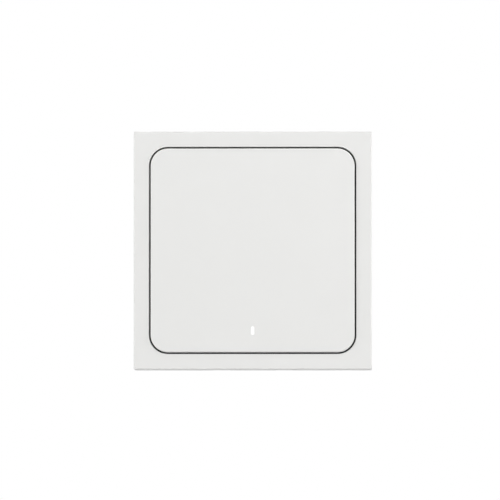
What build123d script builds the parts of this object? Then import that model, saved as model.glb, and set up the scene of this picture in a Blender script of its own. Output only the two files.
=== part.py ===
from build123d import *
import math
import os

os.makedirs("parts", exist_ok=True)

# Wall-mounted wireless push button, in millimetres.
# The wall is the plane y = 0 and the front faces -Y. For someone who faces the button, X runs to
# the right and Z up. A depth is a distance from the wall towards the user, a height is a place
# along Z, and an inset is a distance inwards from the edge of the piece that it names.
# The origin is the centre of the wall plate's back face.

# Front, as the user sees it
KEY_WIDTH = 72.0
KEY_CORNER = 6.1
KEY_EDGE = 0.45
KEY_GAP = 0.6
KEY_PROUD = 0.8
KEY_TRAVEL = 1.2  # at the key's lower edge
FRAME_BORDER = 5.4  # from the key's opening to the frame's outer edge
INDICATOR_WIDTH = 1.2
INDICATOR_LENGTH = 3.2
INDICATOR_INSET = 7.6  # from the key's lower edge to the middle of the slot

# Stack of depths, from the wall to the key
PLATE_THICKNESS = 1.6
PLATE_TO_MODULE = 0.2
HOUSING_FLOOR = 1.0
CELL_RECESS = 0.4  # the cell's back face lies this far inside the housing's back
CELL_THICKNESS = 3.2
CONTACT_HEIGHT = 0.4
PCB_THICKNESS = 1.0
COMPONENT_HEADROOM = 1.4
CHASSIS_PLATE = 1.2
UNDER_KEY_CLEARANCE = 0.6  # what is left under the carrier's lower edge at full travel
CARRIER_THICKNESS = 1.2
KEY_PLATE = 1.6

# Clearances
CUT = 1.0  # overrun of a cut past the face that it opens
LOOSE_FIT = 0.1  # moulded pieces that drop into each other
TURNING_FIT = 0.05  # radial, a pin in the hole that turns on it
TIGHT_FIT = 0.01  # radial, a pin in the hole that holds it
SIDE_PLAY = 0.2  # beside an ear, an arm or a hook that moves

# Frame
FRAME_OFF_WALL = 0.3
FRAME_SKIRT_WALL = 1.8
FRAME_FRONT_WALL = 2.0
FRAME_CORNER = 0.4
FRAME_EDGE = 0.35
APERTURE_EDGE = 0.2
THROAT_WALL = 1.4
LEDGE_WIDTH = 1.3
LEDGE_THICKNESS = 1.2
FRAME_RIB_THICKNESS = 1.2
FRAME_RIB_FOOT = 0.9  # how far a rib's foot reaches over the wall plate
FRAME_RIB_FOOT_HEIGHT = 1.3
FRAME_RIB_PITCH = 22.0
FRAME_RIBS_A_SIDE = 3
RELEASE_NOTCH_WIDTH = 6.0
RELEASE_NOTCH_HEIGHT = 1.5  # from the frame's back edge

# Wall plate
PLATE_OVERLAP = 2.0  # how far the plate reaches past the module
PLATE_CORNER = 4.0
MOUNT_INSET = 5.1  # from the module's edge to a screw hole, which puts a pair 60 mm apart
MOUNT_HOLE_RADIUS = 2.0
TAPE_RECESS_WIDTH = 18.0
TAPE_RECESS_DEPTH = 0.6
TAPE_RECESS_CORNER = 1.5
TAPE_RECESS_PITCH = 35.0
HOOK_ACROSS = 12.0
HOOK_INSET = 15.0  # from the module's upper and lower sides to the hooks
HOOK_WIDTH = 5.0
HOOK_THICKNESS = 1.6
HOOK_REACH = 1.2
HOOK_TIP = 0.5
LATCH_WIDTH = 5.0
LATCH_THICKNESS = 1.0
LATCH_GAP = 0.3
LATCH_BITE = 0.4
LATCH_DEPTH = 3.4
LATCH_TIP = 0.8

# Rear housing
MODULE_CORNER = 5.0
MODULE_CLEARANCE = 0.2  # between the module and the frame's ledge
PARTING_HEIGHT = 3.2  # from the housing's back to the parting line
LIP_THICKNESS = 0.7
LIP_HEIGHT = 0.6
POCKET_RADIUS = 4.0  # clears the head of a wall screw
POCKET_DEPTH = 2.1
POCKET_WALL = 0.8
BAY_CLEARANCE = 0.5
BAY_LIP_THICKNESS = 0.3
BAY_LIP_WIDTH = 6.0
BAY_LIP_REACH = 1.0
BAY_WALL_GAP = 0.6
BAY_WALL = 0.8
BAY_WALL_HEIGHT = 1.8
PAIR_HOLE_RADIUS = 1.5
POST_RADIUS = 2.0
PEG_RADIUS = 0.9
PEG_LENGTH = 1.5
POST_SIDE_INSET = 3.6  # from the board's side edges
POST_TOP_INSET = 4.2  # from the board's upper edge
POST_BOTTOM_INSET = 4.8  # from the board's lower edge

# Housing screws
SCREW_RADIUS = 1.1
SCREW_LENGTH = 4.4  # under the head
SCREW_HEAD_RADIUS = 2.0
SCREW_HEAD_HEIGHT = 1.2
SCREW_HEAD_EDGE = 0.3
SCREW_SINK = 1.4
SCREW_RECESS_LENGTH = 2.2
SCREW_RECESS_WIDTH = 0.5
SCREW_RECESS_DEPTH = 0.7
HOUSING_BOSS_WALL = 1.0
CHASSIS_BOSS_RADIUS = 2.6

# Chassis
CHASSIS_WALL = 1.2
GUSSET_ACROSS = 11.0
GUSSET_THICKNESS = 0.8
GUSSET_REACH = 3.0
CUP_WALL = 0.8
CUP_FLOOR = 1.0
CUP_GAP = 1.2  # from the cup's floor to the housing's floor
SWITCH_WINDOW_GAP = 0.4
SHROUD_WINDOW_GAP = 0.2

# Key hinge
HINGE_INSET = 5.0  # from the key's upper edge to the pins
HINGE_BELOW_PLATE = 1.0
HINGE_ACROSS = 20.0
PIN_RADIUS = 0.75
PIN_EDGE = 0.15
EAR_RADIUS = 1.6
EAR_THICKNESS = 2.4
EAR_WINDOW_GAP = 0.4
CHEEK_THICKNESS = 2.0
TIE_THICKNESS = 0.8
TIE_HEIGHT = 1.0

# Key and carrier
KEY_RIM_WALL = 1.2
SNAP_ACROSS = 9.0
SNAP_WIDTH = 4.0
SNAP_THICKNESS = 1.0
SNAP_INSET = 1.7  # from the carrier's edge to the snap's outer face
SNAP_BITE = 0.5
SNAP_DROP = 0.5
SNAP_CATCH = 0.2
SNAP_FLEX = 0.5
CARRIER_POCKETS = 3
CARRIER_BORDER = 4.7
CARRIER_RIB = 4.0
CARRIER_POCKET_CORNER = 1.0
CARRIER_POCKET_DEPTH = 0.6
STOP_HOOK_ACROSS = 16.0
STOP_HOOK_WIDTH = 5.0
STOP_HOOK_THICKNESS = 1.2
STOP_HOOK_INSET = 4.8  # from the key's lower edge to the hook's inner face
STOP_HOOK_BITE = 0.9
STOP_HOOK_DROP = 1.0
STOP_HOOK_TIP = 0.3
PUSHER_RADIUS = 1.6
PUSHER_EDGE = 0.4
PUSHER_CLEARANCE = 0.05
STUD_RADIUS = 1.4
STUD_LENGTH = 1.0
STUD_EDGE = 0.3

# Return springs and stop pads
SPRING_SIDE_INSET = 5.6  # from the module's side to the springs
SPRING_LOWER_INSET = 15.0  # from the module's lower side to the springs
SPRING_RADIUS = 2.0  # to the middle of the wire
SPRING_WIRE = 0.4
SPRING_WIRE_FACETS = 8
SPRING_CLEARANCE = 0.3
SPRING_TURNS = 4
STOP_PAD_RADIUS = 2.0
STOP_PAD_SIDE_INSET = 8.0
STOP_PAD_LOWER_INSET = 4.0
STOP_PAD_CLEARANCE = 0.05
STOP_PAD_EDGE = 0.15

# Light guide and indicator
GUIDE_FIT = 0.04
GUIDE_FLANGE_BORDER = 0.8
GUIDE_FLANGE_CORNER = 0.4
GUIDE_TAIL = 0.4  # how far the stem stands out behind the carrier
LED_WIDTH = 1.6
LED_LENGTH = 3.0
LED_HEIGHT = 0.5
LED_LENS_HEIGHT = 0.3
LED_LENS_LENGTH = 2.0
LED_LENS_EDGE = 0.1
SHROUD_WALL = 0.6
SHROUD_GAP = 0.2

# Main circuit board
PCB_SIDE_INSET = 9.4  # from the module's edge
PCB_TOP_INSET = 11.8
PCB_BOTTOM_INSET = 4.2
PCB_CORNER = 1.5
PEG_CLEARANCE = 0.1

# Key switch
SWITCH_DROP = 5.0  # from the button's middle down to the switch
SWITCH_WIDTH = 6.2
SWITCH_CORNER = 0.5
SWITCH_HEIGHT = 2.0
SWITCH_CAVITY_RADIUS = 2.3
SWITCH_CAVITY_DEPTH = 1.5
SWITCH_COVER = 0.2
PLUNGER_RADIUS = 1.6
PLUNGER_FLANGE_RADIUS = 2.0
PLUNGER_FLANGE = 0.5
PLUNGER_RESERVE = 0.15  # what still stands out when the plunger is in
PLUNGER_EDGE = 0.2
DOME_WALL = 0.25
DOME_BASE_RADIUS = 2.1
DOME_TOP_RADIUS = 1.1
TERMINAL_THICKNESS = 0.2
TERMINAL_WIDTH = 0.8
TERMINAL_LENGTH = 1.1
TERMINAL_RISE = 0.9
TERMINAL_PITCH = 3.0

# Pairing switch, on the back of the board
PAIR_SIDE_INSET = 6.6  # from the board's left edge
PAIR_TOP_INSET = 15.2  # from the board's upper edge
PAIR_WIDTH = 4.0
PAIR_CORNER = 0.3
PAIR_BASE = 1.4
PAIR_CAVITY_RADIUS = 1.6
PAIR_DOME_FLAT = 0.35  # room for the pressed dome
PAIR_COVER = 0.15
PAIR_TRAVEL = 0.25
PAIR_PLUNGER_RADIUS = 0.9
PAIR_FLANGE_RADIUS = 1.3
PAIR_FLANGE = 0.3
PAIR_STAND_OUT = 0.9
PAIR_DOME_RADIUS = 1.5
PAIR_DOME_THICKNESS = 0.1

# Battery
CELL_RADIUS = 10.0
CELL_EDGE = 0.25
CELL_CAP_INSET = 1.2  # from the can's side to the cap's edge
CELL_CAP_STEP = 0.2
HOLDER_CLEARANCE = 0.3
HOLDER_WALL = 1.7
HOLDER_LIFT = 0.2  # between the holder and the housing's floor
HOLDER_NOTCH = 9.0
HOLDER_BASE = 1.0  # what the finger notch leaves next to the board
STRIP_THICKNESS = 0.2
STRIP_WIDTH = 4.0
STRIP_LENGTH = 16.0
STRIP_DIMPLES = 3
STRIP_DIMPLE_RADIUS = 0.8
STRIP_DIMPLE_PITCH = 5.0
CLIP_THICKNESS = 0.25
CLIP_WIDTH = 5.0
CLIP_FOOT = 3.6
CLIP_PLAY = 0.05
CLIP_LEG_INSET = 1.0  # from the cell's back face to the leg's end

# Radio module and small parts
RADIO_CLIP_GAP = 0.35  # from the positive contact's foot to the module
RADIO_TOP_INSET = 8.2  # from the board's upper edge
RADIO_WIDTH = 10.0
RADIO_LENGTH = 14.0
RADIO_THICKNESS = 0.8
RADIO_PADS = 8
RADIO_PAD_RADIUS = 0.35
RADIO_PAD_PITCH = 1.4
SHIELD_MARGIN = 0.8
SHIELD_LENGTH = 9.0
SHIELD_RISE = 1.4
SHIELD_WALL = 0.2
SHIELD_CORNER = 0.6
CRYSTAL_SIDE_INSET = 10.6  # from the board's right edge
CRYSTAL_TOP_INSET = 11.2
CRYSTAL_LENGTH = 3.2
CRYSTAL_WIDTH = 2.5
CRYSTAL_CORNER = 0.3
CRYSTAL_RISE = 0.7
CAPACITOR_LENGTH = 1.6
CAPACITOR_WIDTH = 0.8
CAPACITOR_RISE = 0.8
CAPACITOR_PITCH = 2.4
CAPACITOR_ROW = 4
CAPACITOR_SIDE_INSET = 11.6  # from the board's left edge
CAPACITOR_TOP_INSET = 9.2

# Widths that follow from the values above
APERTURE_WIDTH = KEY_WIDTH + 2 * KEY_GAP
APERTURE_CORNER = KEY_CORNER + KEY_GAP
FRAME_WIDTH = APERTURE_WIDTH + 2 * FRAME_BORDER
SKIRT_INSIDE = FRAME_WIDTH - 2 * FRAME_SKIRT_WALL
THROAT_OUTSIDE = APERTURE_WIDTH + 2 * THROAT_WALL
LEDGE_OPENING = APERTURE_WIDTH - 2 * LEDGE_WIDTH
MODULE_WIDTH = LEDGE_OPENING - 2 * MODULE_CLEARANCE
MODULE_HALF = MODULE_WIDTH / 2
PLATE_WIDTH = MODULE_WIDTH + 2 * PLATE_OVERLAP
HOOK_PITCH = MODULE_WIDTH - 2 * HOOK_INSET
MOUNT_RADIUS = MODULE_HALF - MOUNT_INSET
FLANGE_WIDTH = APERTURE_WIDTH - 2 * LOOSE_FIT
FLANGE_CORNER = APERTURE_CORNER - LOOSE_FIT
HOUSING_WALL = CHASSIS_WALL + LOOSE_FIT + LIP_THICKNESS
KEY_INSIDE = KEY_WIDTH - 2 * KEY_RIM_WALL
KEY_INSIDE_CORNER = KEY_CORNER - KEY_RIM_WALL
CARRIER_WIDTH = KEY_INSIDE - 2 * LOOSE_FIT
CARRIER_CORNER = KEY_INSIDE_CORNER - LOOSE_FIT
CARRIER_POCKET_PITCH = (CARRIER_WIDTH - 2 * CARRIER_BORDER + CARRIER_RIB) / CARRIER_POCKETS
CARRIER_POCKET_WIDTH = CARRIER_POCKET_PITCH - CARRIER_RIB

# Places that follow
KEY_BOTTOM = -KEY_WIDTH / 2
INDICATOR_HEIGHT = KEY_BOTTOM + INDICATOR_INSET
HINGE_HEIGHT = KEY_WIDTH / 2 - HINGE_INSET
SWITCH_PLACE = -SWITCH_DROP
SPRING_PLACE = SPRING_LOWER_INSET - MODULE_HALF
PCB_WIDTH = MODULE_WIDTH - 2 * PCB_SIDE_INSET
PCB_TOP = MODULE_HALF - PCB_TOP_INSET
PCB_BOTTOM = PCB_BOTTOM_INSET - MODULE_HALF
POST_ACROSS = PCB_WIDTH / 2 - POST_SIDE_INSET
POST_TOP = PCB_TOP - POST_TOP_INSET
POST_BOTTOM = PCB_BOTTOM + POST_BOTTOM_INSET
SCREW_PLACE = MODULE_HALF - MODULE_CORNER
SPRING_ACROSS = MODULE_HALF - SPRING_SIDE_INSET
STOP_PAD_ACROSS = MODULE_HALF - STOP_PAD_SIDE_INSET
LATCH_ACROSS = FRAME_RIB_PITCH / 2
PAIR_ACROSS = PAIR_SIDE_INSET - PCB_WIDTH / 2
PAIR_HEIGHT = PCB_TOP - PAIR_TOP_INSET
RADIO_ACROSS = CELL_RADIUS + CLIP_PLAY + CLIP_FOOT + RADIO_CLIP_GAP + RADIO_WIDTH / 2
RADIO_HEIGHT = PCB_TOP - RADIO_TOP_INSET - RADIO_LENGTH / 2
CRYSTAL_ACROSS = PCB_WIDTH / 2 - CRYSTAL_SIDE_INSET
CRYSTAL_HEIGHT = PCB_TOP - CRYSTAL_TOP_INSET
CAPACITOR_ACROSS = CAPACITOR_SIDE_INSET - PCB_WIDTH / 2
CAPACITOR_HEIGHT = PCB_TOP - CAPACITOR_TOP_INSET
STOP_PAD_PLACE = STOP_PAD_LOWER_INSET - MODULE_HALF

# Key's tilt and what it gives at each arm
KEY_ARM = HINGE_HEIGHT - KEY_BOTTOM
KEY_TILT = math.asin(KEY_TRAVEL / KEY_ARM)
SWITCH_TRAVEL = (HINGE_HEIGHT - SWITCH_PLACE) * KEY_TILT
STOP_PAD_TRAVEL = (HINGE_HEIGHT - STOP_PAD_PLACE + STOP_PAD_RADIUS) * math.sin(KEY_TILT)

# Depths that follow
HOUSING_BACK = PLATE_THICKNESS + PLATE_TO_MODULE
HOUSING_INSIDE = HOUSING_BACK + HOUSING_FLOOR
PARTING = HOUSING_BACK + PARTING_HEIGHT
CELL_BACK = HOUSING_BACK + CELL_RECESS
CELL_FRONT = CELL_BACK + CELL_THICKNESS
PCB_BACK = CELL_FRONT + CONTACT_HEIGHT
PCB_FRONT = PCB_BACK + PCB_THICKNESS
CHASSIS_BACK = PCB_FRONT + COMPONENT_HEADROOM
CHASSIS_FACE = CHASSIS_BACK + CHASSIS_PLATE
CARRIER_BACK = CHASSIS_FACE + KEY_TRAVEL + UNDER_KEY_CLEARANCE
CARRIER_FRONT = CARRIER_BACK + CARRIER_THICKNESS
KEY_FACE = CARRIER_FRONT + KEY_PLATE
FRAME_FACE = KEY_FACE - KEY_PROUD
THROAT_BACK = CHASSIS_BACK - LEDGE_THICKNESS
HINGE_DEPTH = CHASSIS_BACK - HINGE_BELOW_PLATE
CUP_BOTTOM = HOUSING_INSIDE + CUP_GAP
SPRING_SEAT = CUP_BOTTOM + CUP_FLOOR
SCREW_SEAT = HOUSING_BACK + SCREW_SINK
PLUNGER_SEAT = PCB_FRONT + SWITCH_HEIGHT
PLUNGER_TOP = PLUNGER_SEAT + SWITCH_COVER + SWITCH_TRAVEL + PLUNGER_RESERVE
PUSHER_TIP = PLUNGER_TOP + PUSHER_CLEARANCE
CUP_RADIUS = SPRING_RADIUS + SPRING_WIRE / 2 + SPRING_CLEARANCE
PAIR_CAVITY_DEPTH = PAIR_FLANGE + PAIR_TRAVEL + PAIR_DOME_FLAT
PAIR_COVER_SEAT = PCB_BACK - PAIR_BASE
PAIR_FLOOR = PAIR_COVER_SEAT + PAIR_CAVITY_DEPTH
CELL_CAP_RADIUS = CELL_RADIUS - CELL_CAP_INSET
HOLDER_INSIDE = CELL_RADIUS + HOLDER_CLEARANCE
HOLDER_RADIUS = HOLDER_INSIDE + HOLDER_WALL


def level(depth):
    """Plane that faces the user at this depth: local x along X, local y along Z."""
    return Plane(origin=(0, -depth, 0), x_dir=(1, 0, 0), z_dir=(0, -1, 0))


def side(quarter, along=0):
    """Plane square to a side of the button: local x outwards, local y towards the user.

    Quarter 0 is the top, 1 the right, 2 the bottom and 3 the left side. The plane stands
    `along` from the middle of that side, clockwise for the user.
    """
    angle = quarter * math.pi / 2
    outwards = Vector(math.sin(angle), 0, math.cos(angle))
    clockwise = Vector(math.cos(angle), 0, -math.sin(angle))
    return Plane(origin=clockwise * along, x_dir=outwards, z_dir=clockwise)


def square(width, corner, mode=Mode.ADD):
    """Square with round corners."""
    RectangleRounded(width, width, corner, mode=mode)


def write(piece, name):
    """Label a finished piece and write it."""
    piece.part.label = name
    export_step(piece.part, f"parts/{name}.step")


# Wall plate: screwed or taped to the wall, with hooks for the module and two latches below it
with BuildPart() as wall_plate:
    with BuildSketch(level(0)):
        square(PLATE_WIDTH, PLATE_CORNER)
    extrude(amount=PLATE_THICKNESS)
    with BuildSketch(level(0)):
        with GridLocations(TAPE_RECESS_PITCH, TAPE_RECESS_PITCH, 2, 2):
            square(TAPE_RECESS_WIDTH, TAPE_RECESS_CORNER)
    extrude(amount=TAPE_RECESS_DEPTH, mode=Mode.SUBTRACT)
    with BuildSketch(level(0)):
        with PolarLocations(MOUNT_RADIUS, 4):
            Circle(MOUNT_HOLE_RADIUS)
    extrude(amount=PLATE_THICKNESS, mode=Mode.SUBTRACT)
    for across in (-HOOK_ACROSS, HOOK_ACROSS):
        for height in (-HOOK_PITCH / 2, HOOK_PITCH / 2):
            top = height + HOOK_THICKNESS / 2
            catch = HOUSING_INSIDE + LOOSE_FIT
            with BuildSketch(side(0, across)):
                Polygon(
                    (top - HOOK_THICKNESS, PLATE_THICKNESS),
                    (top, PLATE_THICKNESS),
                    (top, catch),
                    (top + HOOK_REACH, catch),
                    (top + HOOK_REACH, catch + HOOK_TIP),
                    (top, catch + HOOK_TIP + HOOK_REACH / 2),
                    (top - HOOK_THICKNESS, catch + HOOK_TIP + HOOK_REACH / 2),
                )
            extrude(amount=HOOK_WIDTH / 2, both=True)
    for across in (-LATCH_ACROSS, LATCH_ACROSS):
        inner = MODULE_HALF + LATCH_GAP
        bite = MODULE_HALF - LATCH_BITE
        with BuildSketch(side(2, across)):
            Polygon(
                (inner, PLATE_THICKNESS),
                (inner + LATCH_THICKNESS, PLATE_THICKNESS),
                (inner + LATCH_THICKNESS, LATCH_DEPTH + LATCH_TIP),
                (inner, LATCH_DEPTH + LATCH_TIP),
                (bite, LATCH_DEPTH + LATCH_TIP / 2),
                (bite, LATCH_DEPTH),
                (inner, LATCH_DEPTH),
            )
        extrude(amount=LATCH_WIDTH / 2, both=True)
write(wall_plate, "wall_plate")

# Rear housing: tray with the cell's bay, dished pockets over the wall screws and board posts
with BuildPart() as rear_housing:
    with BuildSketch(level(HOUSING_BACK)):
        square(MODULE_WIDTH, MODULE_CORNER)
    extrude(amount=PARTING_HEIGHT)
    with BuildSketch(level(HOUSING_INSIDE)):
        square(MODULE_WIDTH - 2 * HOUSING_WALL, MODULE_CORNER - HOUSING_WALL)
    extrude(amount=PARTING_HEIGHT, mode=Mode.SUBTRACT)
    with BuildSketch(level(PARTING)):
        lip_inset = CHASSIS_WALL + LOOSE_FIT
        square(MODULE_WIDTH - 2 * lip_inset, MODULE_CORNER - lip_inset)
        square(MODULE_WIDTH - 2 * HOUSING_WALL, MODULE_CORNER - HOUSING_WALL, mode=Mode.SUBTRACT)
    extrude(amount=LIP_HEIGHT)
    # bosses and pockets on the floor
    with BuildSketch(level(HOUSING_INSIDE)):
        with GridLocations(2 * SCREW_PLACE, 2 * SCREW_PLACE, 2, 2):
            Circle(SCREW_HEAD_RADIUS + SIDE_PLAY + HOUSING_BOSS_WALL)
    extrude(amount=PARTING - HOUSING_INSIDE)
    with BuildSketch(level(HOUSING_INSIDE)):
        with PolarLocations(MOUNT_RADIUS, 4):
            Circle(POCKET_RADIUS + POCKET_WALL)
    extrude(amount=HOUSING_BACK + POCKET_DEPTH + POCKET_WALL - HOUSING_INSIDE)
    with BuildSketch(level(HOUSING_INSIDE)):
        Circle(HOLDER_RADIUS + BAY_WALL_GAP + BAY_WALL)
        Circle(HOLDER_RADIUS + BAY_WALL_GAP, mode=Mode.SUBTRACT)
    extrude(amount=BAY_WALL_HEIGHT)
    posts = [(x, z) for x in (-POST_ACROSS, POST_ACROSS) for z in (POST_BOTTOM, POST_TOP)]
    with BuildSketch(level(HOUSING_INSIDE)):
        with Locations(*posts):
            Circle(POST_RADIUS)
    extrude(amount=PCB_BACK - HOUSING_INSIDE)
    with BuildSketch(level(PCB_BACK)):
        with Locations(*posts):
            Circle(PEG_RADIUS)
    extrude(amount=PEG_LENGTH)
    # cuts from the back
    with BuildSketch(level(HOUSING_BACK)):
        with PolarLocations(MOUNT_RADIUS, 4):
            Circle(POCKET_RADIUS)
    extrude(amount=POCKET_DEPTH, mode=Mode.SUBTRACT)
    with BuildSketch(level(HOUSING_BACK)):
        with GridLocations(2 * SCREW_PLACE, 2 * SCREW_PLACE, 2, 2):
            Circle(SCREW_HEAD_RADIUS + SIDE_PLAY)
    extrude(amount=SCREW_SINK, mode=Mode.SUBTRACT)
    with BuildSketch(level(SCREW_SEAT)):
        with GridLocations(2 * SCREW_PLACE, 2 * SCREW_PLACE, 2, 2):
            Circle(SCREW_RADIUS + LOOSE_FIT)
    extrude(amount=PARTING_HEIGHT, mode=Mode.SUBTRACT)
    # bay opening, with two lips that keep the cell in
    with BuildSketch(level(HOUSING_BACK + BAY_LIP_THICKNESS)):
        Circle(CELL_RADIUS + BAY_CLEARANCE)
    extrude(amount=HOUSING_FLOOR, mode=Mode.SUBTRACT)
    with BuildSketch(level(HOUSING_BACK)):
        Circle(CELL_RADIUS + BAY_CLEARANCE)
        with GridLocations(2 * (CELL_RADIUS + BAY_CLEARANCE), 0, 2, 1):
            Rectangle(2 * BAY_LIP_REACH, BAY_LIP_WIDTH, mode=Mode.SUBTRACT)
    extrude(amount=BAY_LIP_THICKNESS, mode=Mode.SUBTRACT)
    with BuildSketch(level(HOUSING_BACK)):
        with Locations((PAIR_ACROSS, PAIR_HEIGHT)):
            Circle(PAIR_HOLE_RADIUS)
    extrude(amount=HOUSING_FLOOR, mode=Mode.SUBTRACT)
    # slots that pass the wall plate's hooks, which then slide up
    slot_height = HOOK_THICKNESS + HOOK_REACH + 3 * SIDE_PLAY
    slot_middle = HOOK_THICKNESS / 2 + SIDE_PLAY - slot_height / 2
    with BuildSketch(level(HOUSING_BACK)):
        with Locations((0, slot_middle)):
            with GridLocations(2 * HOOK_ACROSS, HOOK_PITCH, 2, 2):
                Rectangle(HOOK_WIDTH + 2 * SIDE_PLAY, slot_height)
    extrude(amount=HOUSING_FLOOR, mode=Mode.SUBTRACT)
    for across in (-LATCH_ACROSS, LATCH_ACROSS):
        with BuildSketch(side(2, across)):
            Polygon(
                (MODULE_HALF - LATCH_BITE - SIDE_PLAY, LATCH_DEPTH - SIDE_PLAY),
                (MODULE_HALF + CUT, LATCH_DEPTH - SIDE_PLAY),
                (MODULE_HALF + CUT, LATCH_DEPTH + LATCH_TIP + SIDE_PLAY),
                (MODULE_HALF - LATCH_BITE - SIDE_PLAY, LATCH_DEPTH + LATCH_TIP + SIDE_PLAY),
            )
        extrude(amount=LATCH_WIDTH / 2 + SIDE_PLAY, both=True, mode=Mode.SUBTRACT)
write(rear_housing, "rear_housing")

# Housing screws: four alike, driven from the back
with BuildPart() as housing_screws:
    with BuildSketch(level(SCREW_SEAT - SCREW_HEAD_HEIGHT)):
        with GridLocations(2 * SCREW_PLACE, 2 * SCREW_PLACE, 2, 2):
            Circle(SCREW_HEAD_RADIUS)
    extrude(amount=SCREW_HEAD_HEIGHT)
    chamfer(housing_screws.edges().group_by(Axis.Y)[-1], SCREW_HEAD_EDGE)
    with BuildSketch(level(SCREW_SEAT)):
        with GridLocations(2 * SCREW_PLACE, 2 * SCREW_PLACE, 2, 2):
            Circle(SCREW_RADIUS)
    extrude(amount=SCREW_LENGTH)
    chamfer(housing_screws.edges().group_by(Axis.Y)[0], SCREW_HEAD_EDGE)
    with BuildSketch(level(SCREW_SEAT - SCREW_HEAD_HEIGHT)):
        with GridLocations(2 * SCREW_PLACE, 2 * SCREW_PLACE, 2, 2):
            Rectangle(SCREW_RECESS_LENGTH, SCREW_RECESS_WIDTH)
            Rectangle(SCREW_RECESS_WIDTH, SCREW_RECESS_LENGTH)
    extrude(amount=SCREW_RECESS_DEPTH, mode=Mode.SUBTRACT)
write(housing_screws, "housing_screws")

# Frame: square ring with a hollow border, an inner ledge that the chassis clamps, and ribs
with BuildPart() as frame:
    with BuildSketch(level(FRAME_OFF_WALL)):
        square(FRAME_WIDTH, FRAME_CORNER)
    extrude(amount=FRAME_FACE - FRAME_OFF_WALL)
    fillet(frame.faces().sort_by(Axis.Y)[0].edges(), FRAME_EDGE)
    with BuildSketch(level(FRAME_OFF_WALL)):
        square(SKIRT_INSIDE, FRAME_CORNER)
    extrude(amount=THROAT_BACK - FRAME_OFF_WALL, mode=Mode.SUBTRACT)
    with BuildSketch(level(THROAT_BACK)):
        square(SKIRT_INSIDE, FRAME_CORNER)
        square(THROAT_OUTSIDE, APERTURE_CORNER + THROAT_WALL, mode=Mode.SUBTRACT)
    extrude(amount=FRAME_FACE - FRAME_FRONT_WALL - THROAT_BACK, mode=Mode.SUBTRACT)
    with BuildSketch(level(THROAT_BACK)):
        square(LEDGE_OPENING, APERTURE_CORNER - LEDGE_WIDTH)
    extrude(amount=LEDGE_THICKNESS, mode=Mode.SUBTRACT)
    with BuildSketch(level(CHASSIS_BACK)):
        square(APERTURE_WIDTH, APERTURE_CORNER)
    extrude(amount=FRAME_FACE - CHASSIS_BACK, mode=Mode.SUBTRACT)
    face_wires = frame.faces().sort_by(Axis.Y)[0].inner_wires()
    fillet(face_wires.edges(), APERTURE_EDGE)
    skirt = SKIRT_INSIDE / 2
    throat = THROAT_OUTSIDE / 2
    foot = PLATE_WIDTH / 2 - FRAME_RIB_FOOT
    foot_depth = PLATE_THICKNESS + LOOSE_FIT
    for quarter in range(4):
        for place in range(FRAME_RIBS_A_SIDE):
            along = (place - (FRAME_RIBS_A_SIDE - 1) / 2) * FRAME_RIB_PITCH
            with BuildSketch(side(quarter, along)):
                Polygon(
                    (skirt, foot_depth),
                    (foot, foot_depth),
                    (foot, foot_depth + FRAME_RIB_FOOT_HEIGHT),
                    (throat, THROAT_BACK),
                    (throat, FRAME_FACE - FRAME_FRONT_WALL),
                    (skirt, FRAME_FACE - FRAME_FRONT_WALL),
                )
            extrude(amount=FRAME_RIB_THICKNESS / 2, both=True)
    # notches below the plate's latches, for the tip of a screwdriver
    with BuildSketch(level(FRAME_OFF_WALL)):
        with Locations((0, (FRAME_SKIRT_WALL - FRAME_WIDTH) / 2)):
            with GridLocations(2 * LATCH_ACROSS, 0, 2, 1):
                Rectangle(RELEASE_NOTCH_WIDTH, FRAME_SKIRT_WALL + 2 * CUT)
    extrude(amount=RELEASE_NOTCH_HEIGHT, mode=Mode.SUBTRACT)
write(frame, "frame")

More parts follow.
